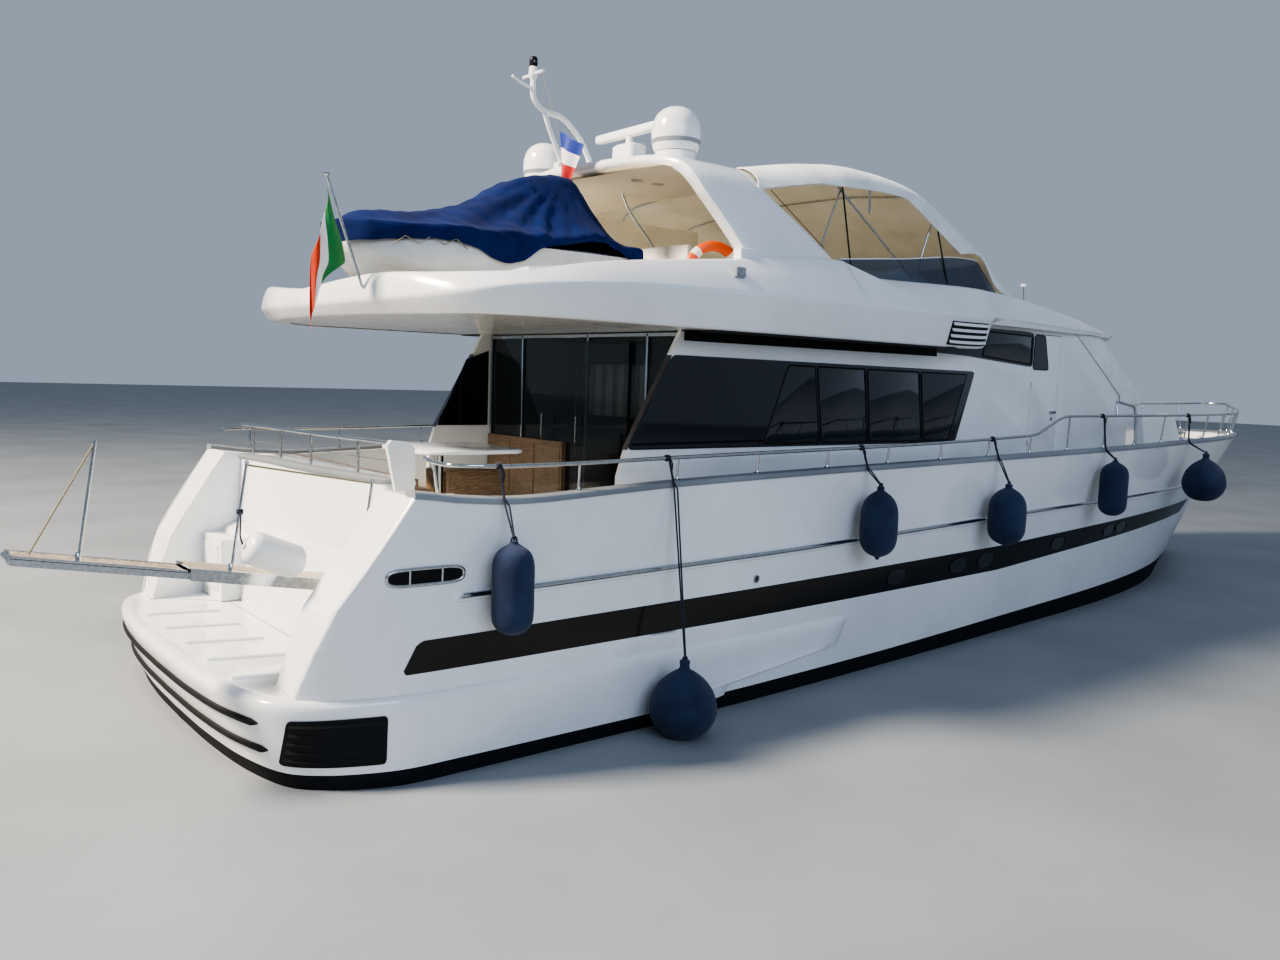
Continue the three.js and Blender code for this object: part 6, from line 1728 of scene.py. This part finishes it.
def ensign_point(fly, hoist):
    """The hoist runs down beside the staff; the fly falls from it in folds and gathers to a tip."""
    z = 4.88 - 0.63 * hoist * (1 - fly) - (0.62 + 0.63 * hoist) * fly
    down = (4.88 - z) / 1.25
    left, right = FOLD_LEFT(down), FOLD_RIGHT(down)
    share = 1 - (1 - fly) ** 1.5
    x = right + (left - right) * share
    y = -1.25 - 0.022 * math.sin(fly * 11.0 + hoist * 1.5) * min(1, 4 * fly)
    return (x, y, z)


hung_flag("ensign_cloth", ensign_point, 1.25, ENSIGN_CLOTH, stands_for=("ensign",))

# %% Courtesy flag under the mast


def pennant_point(fly, hoist):
    """The small flag hangs by its upper corner, so its bands slope and its cloth falls in two folds."""
    y = -0.31 - (0.43 - 0.20 * fly) * hoist - 0.02 * fly
    return (-7.09 + 0.025 * math.sin(hoist * 8 + fly * 2), y,
            6.0 - 0.20 * hoist * (1 - fly) - 0.50 * fly - 0.06 * hoist * fly)


hung_flag("courtesy_flag", pennant_point, 0.57, PENNANT_CLOTH)
halyard = Shape()
halyard.bar([(-7.24, -0.17, 6.63), (-7.10, -0.30, 6.0), (-6.98, -0.33, 5.68)], 0.003, 6)
piece("halyard", halyard, CREAM_ROPE, sharp=60)
print("rails, fenders, gangway, tender and flags dressed")

# %% [markdown]
# ## Small gear
# What gives a boat its scale is the small gear: a life ring on the arch, an aerial, fairleads in the
# quarters, the windlass forward. Each is a bought fitting, bolted on.

# %% Life ring, aerial and lamp
gear = Shape()
ring_centre = Vector((-6.19, -1.91, 4.44))
RING_FACE = Vector((0.03, -1, 0))
ring_rows = []
for k in range(49):
    a = 2 * math.pi * k / 48
    outward_way = Vector((math.cos(a) * 0.9, -0.35 * math.cos(a), math.sin(a)))
    turns = [2 * math.pi * i / 14 for i in range(14)]
    ring_rows.append([ring_centre + outward_way * (0.29 + 0.055 * math.cos(b))
                      + RING_FACE * 0.04 * math.sin(b) for b in turns])
for k in range(48):
    gear.grid(ring_rows[k:k + 2], around=True, mark=1 if k % 12 in (5, 6) else 0)
piece("life_ring", gear, [ORANGE, WHITE_CANVAS], sharp=60)
aerial = Shape()
aerial.bar([(0.42, -1.55, FLY_TOP_Z(0.42)), (0.36, -1.55, 4.86)], 0.007, 10, mark=0)
aerial.turned([(0.0, 0), (0.035, 0.004), (0.045, 0.02), (0.035, 0.036), (0, 0.042)], (0.36, -1.55, 4.85),
              sides=18, mark=1)
aerial.turned([(0.03, 0), (0.03, 0.02), (0.012, 0.03)], (0.42, -1.55, FLY_TOP_Z(0.42) + 0.002), sides=16,
              mark=1)
piece("aerial", aerial, [STEEL, GELCOAT], sharp=50)

# %% Fairleads in the quarters, and windlass
FAIRLEAD_X, FAIRLEAD_Z = -9.86, 1.70
FAIRLEAD_HALF_LENGTH, FAIRLEAD_HALF_HEIGHT = 0.33, 0.065
FAIRLEAD_OVAL = [(FAIRLEAD_HALF_LENGTH * math.copysign(abs(math.cos(a)) ** 0.35, math.cos(a)),
                  FAIRLEAD_HALF_HEIGHT * math.copysign(abs(math.sin(a)) ** 0.7, math.sin(a)))
                 for a in (2 * math.pi * k / 40 for k in range(40))]
quarter = Shape()
for side in (-1, 1):
    mirror = [1, -side, 1]
    quarter.bar([side_place(FAIRLEAD_X + dx, FAIRLEAD_Z + dz, 0.012) * mirror for dx, dz in FAIRLEAD_OVAL],
                0.016, 10, mark=0, loop=True)
    for x in (-10.0, -9.72):
        quarter.bar([side_place(x, z, 0.014) * mirror for z in (1.645, 1.755)], 0.012, 10, mark=0)
    # The flat black oval inside each steel rim is painted shade: it stands for the dark opening of the
    # fairlead.
    quarter.grid([[side_place(FAIRLEAD_X + dx * s, FAIRLEAD_Z + dz * s, 0.013) * mirror
                   for dx, dz in FAIRLEAD_OVAL] for s in (1, 0.8, 0.5, 0.02)], around=True, ends=True,
                 mark=1)
piece("fairleads", quarter, [STEEL, BLACK_PLASTIC], sharp=40)
windlass = Shape()
windlass.block((9.15, -0.20, 2.30), (9.55, 0.16, 2.36), 0.05, mark=0)
windlass.turned([(0.0, 0), (0.13, 0), (0.135, 0.03), (0.10, 0.06), (0.085, 0.10), (0.10, 0.15),
                 (0.13, 0.18), (0.12, 0.20), (0.0, 0.205)],
                (9.35, -0.02, 2.36), sides=32, mark=0)
windlass.bar([(9.5, 0, 2.40), (10.3, 0, 2.37), (10.55, 0, 2.46)], 0.03, 12, mark=0)
for side in (-1, 1):
    windlass.bar(rounded([(10.0, side * 0.52, 2.33), (10.0, side * 0.52, 2.40), (10.28, side * 0.42, 2.40),
                          (10.28, side * 0.42, 2.33)], 0.05), 0.017, 10, mark=0)
piece("windlass", windlass, STEEL, sharp=40)

# %% [markdown]
# ## Cockpit
# Varnished cherry lockers, a white oval table and a curtain behind the glass make the cockpit read as a
# room. Striped cotton curtains hang in even pleats inside the fixed pane.

# %% Cockpit joinery and curtain
STRIPE_COUNT = 34.0
CURTAIN_X, CURTAIN_Y, CURTAIN_WIDTH = -6.40, -1.20, 1.08
CURTAIN_TOP, CURTAIN_FOOT = 3.47, 2.88
PLEAT_DEPTH = 0.035


def stripes_finish():
    """Cotton woven in broad vertical stripes of cream and grey, glowing faintly as painted light for the sun on
    it.
    """
    made, tree, shader = finish("striped_cotton", Roughness=0.9, Sheen_Weight=0.2)
    across = node(tree, "ShaderNodeSeparateXYZ",
                  Vector=node(tree, "ShaderNodeUVMap", {"uv_map": "pleat"}).outputs[0]).outputs[0]
    count = node(tree, "ShaderNodeMath", {"operation": "MULTIPLY"}, i0=across, i1=STRIPE_COUNT)
    wave = node(tree, "ShaderNodeMath", {"operation": "PINGPONG"}, i0=count.outputs[0], i1=1.0)
    bands = shade_between(tree, wave.outputs[0], "#d9d0ba", "#8d8a84", 0.45, 0.62)
    tree.links.new(bands, shader.inputs["Base Color"])
    # The stripes glow faintly: painted light that stands for sun on the curtain behind the glass.
    tree.links.new(bands, shader.inputs["Emission Color"])
    shader.inputs["Emission Strength"].default_value = 0.22
    weave = node(tree, "ShaderNodeTexVoronoi", Vector=place_of(tree), Scale=200.0)
    raise_with(tree, shader, weave.outputs[0], 0.3, 0.001)
    return made


STRIPED = stripes_finish()
curtain_mesh = bpy.data.meshes.new("cockpit_curtain")
pleats, drops = 120, 12
curtain_points, curtain_faces = [], []
for j in range(drops + 1):
    for i in range(pleats + 1):
        y = CURTAIN_Y + CURTAIN_WIDTH * i / pleats
        depth = PLEAT_DEPTH * math.sin(i * 0.62) * (0.7 + 0.3 * j / drops) + 0.008 * math.sin(i * 0.21 + j)
        curtain_points.append((CURTAIN_X + depth, y,
                               CURTAIN_TOP - (CURTAIN_TOP - CURTAIN_FOOT) * j / drops))
for j in range(drops):
    for i in range(pleats):
        a = j * (pleats + 1) + i
        curtain_faces.append((a, a + 1, a + pleats + 2, a + pleats + 1))
curtain_mesh.from_pydata(curtain_points, [], curtain_faces)
pleat_uv = curtain_mesh.uv_layers.new(name="pleat")
for loop in curtain_mesh.loops:
    pleat_uv.data[loop.index].uv = ((loop.vertex_index % (pleats + 1)) / pleats,
                                    (loop.vertex_index // (pleats + 1)) / drops)
curtain_mesh.materials.append(STRIPED)
curtain_mesh.shade_smooth()
cockpit_curtain = bpy.data.objects.new("cockpit_curtain", curtain_mesh)
bpy.context.collection.objects.link(cockpit_curtain)
cockpit_curtain.modifiers.new("cloth", "SOLIDIFY").thickness = 0.003
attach(cockpit_curtain, "yacht")
joinery = Shape()
SOLE = 1.7503
joinery.block((-6.60, 0.20, SOLE), (-6.5405, 1.93, 2.53), 0.0, mark=0)
for y0, y1 in ((0.24, 0.78), (0.81, 1.35), (1.38, 1.89)):
    joinery.block((-6.607, y0, SOLE + 0.06), (-6.60, y1, 2.47), 0.0, mark=0)
joinery.block((-8.25, 0.02, SOLE), (-7.52, 0.50, 2.25), 0.02, mark=0)
joinery.block((-8.20, 0.012, SOLE + 0.05), (-7.57, 0.02, 2.20), 0.0, mark=0)
for y in (-1.93, -1.32, -0.23, 1.17, 1.93):
    joinery.block((-6.575, y - 0.016, SOLE), (-6.545, y + 0.016, 3.82), 0.006, mark=1)
joinery.block((-6.575, -1.94, 3.775), (-6.545, 1.94, 3.815), 0.006, mark=1)
joinery.prism([(-7.34, 1.956, 2.64), (-6.93, 1.956, 3.50), (-6.60, 1.956, 3.62), (-6.60, 1.956, 2.64)],
              (0, -0.006, 0), mark=2)
for y in (-0.12, 0.6):
    joinery.bar(rounded([(-6.60, y, 2.55), (-6.64, y, 2.55), (-6.64, y, 2.85), (-6.60, y, 2.85)], 0.02),
                0.009, 10, mark=1)
piece("cockpit_joinery", joinery, [CHERRY, STEEL, SMOKED], sharp=35)

# %% Cockpit table
table = Shape()
TABLE_PLAN = rounded([(-8.85, -0.36, 0), (-8.70, -0.64, 0), (-7.60, -0.64, 0), (-7.60, 0.64, 0),
                      (-8.70, 0.64, 0), (-8.85, 0.36, 0)], 0.24, 7,
                     closed=True)
table_middle = np.array([-8.2, 0, 0])
table.grid([table_middle + (TABLE_PLAN - table_middle) * size + (0, 0, z)
            for size, z in ((0.97, 2.476), (0.995, 2.480), (1.0, 2.492), (1.0, 2.508), (0.995, 2.516),
                            (0.98, 2.520))], around=True, ends=True, mark=0)
table.turned([(0.15, SOLE), (0.15, SOLE + 0.012), (0.07, SOLE + 0.03), (0.05, SOLE + 0.05), (0.05, 2.42),
              (0.12, 2.476)], (-8.35, 0, 0), sides=36, mark=1)
piece("cockpit_table_dressed", table, [GELCOAT, STEEL], sharp=40,
      stands_for=("cockpit_table",))

# %% [markdown]
# ## Light and floor
# The low sun of the photograph stood behind the port quarter: it floods the stern, the platform and the
# tops, and leaves the starboard side to the sky. One warm soft source does that; a cool one fills the shade.

# %% Floor and light
floor_mesh = bpy.data.meshes.new("floor")
FLOOR_NEAR, FLOOR_AHEAD, FLOOR_FAR = -90, 130, 150
floor_mesh.from_pydata([(FLOOR_NEAR, FLOOR_NEAR, 0), (FLOOR_AHEAD, FLOOR_NEAR, 0),
                        (FLOOR_AHEAD, FLOOR_FAR, 0), (FLOOR_NEAR, FLOOR_FAR, 0)], [], [(0, 1, 2, 3)])
pale, tree, shader = finish("pale_floor", Roughness=0.7)
marks = noise_at(tree, place_of(tree), Scale=0.4, Detail=5.0)
tree.links.new(shade_between(tree, marks.outputs[0], "#8e9396", "#9ca1a4", 0.3, 0.7),
               shader.inputs["Base Color"])
floor_mesh.materials.append(pale)
floor = bpy.data.objects.new("floor", floor_mesh)
bpy.context.collection.objects.link(floor)


def lamp(name, place, target, size, watts, tint):
    """A large soft light aimed at a point."""
    data = bpy.data.lights.new(name, "AREA")
    data.shape, data.size, data.size_y = "RECTANGLE", size[0], size[1]
    data.energy = watts
    data.color = colour(tint)[:3]
    light = bpy.data.objects.new(name, data)
    light.matrix_world = Matrix.Translation(place) @ (Vector(target) - Vector(place)).to_track_quat("-Z",
        "Y").to_matrix().to_4x4()
    bpy.context.collection.objects.link(light)
    return light


SUN_WATTS, SKY_WATTS, SKY_STRENGTH = 27000, 3600, 0.46
lamp("key", (-34, 9, 26), (-5, 0, 2), (7, 5), SUN_WATTS, "#ffeedb")
lamp("fill", (-14, -34, 16), (0, 0, 2), (22, 14), SKY_WATTS, "#c9dcff")
world = bpy.data.worlds.new("sky")
bpy.context.scene.world = world
world.use_nodes = True
backdrop = world.node_tree.nodes["Background"]
backdrop.inputs["Color"].default_value = colour("#c8d6e9")
backdrop.inputs["Strength"].default_value = SKY_STRENGTH
bpy.context.scene.view_settings.view_transform = "AgX"
bpy.context.scene.view_settings.look = "AgX - High Contrast"
bpy.context.scene.view_settings.exposure = 0.0
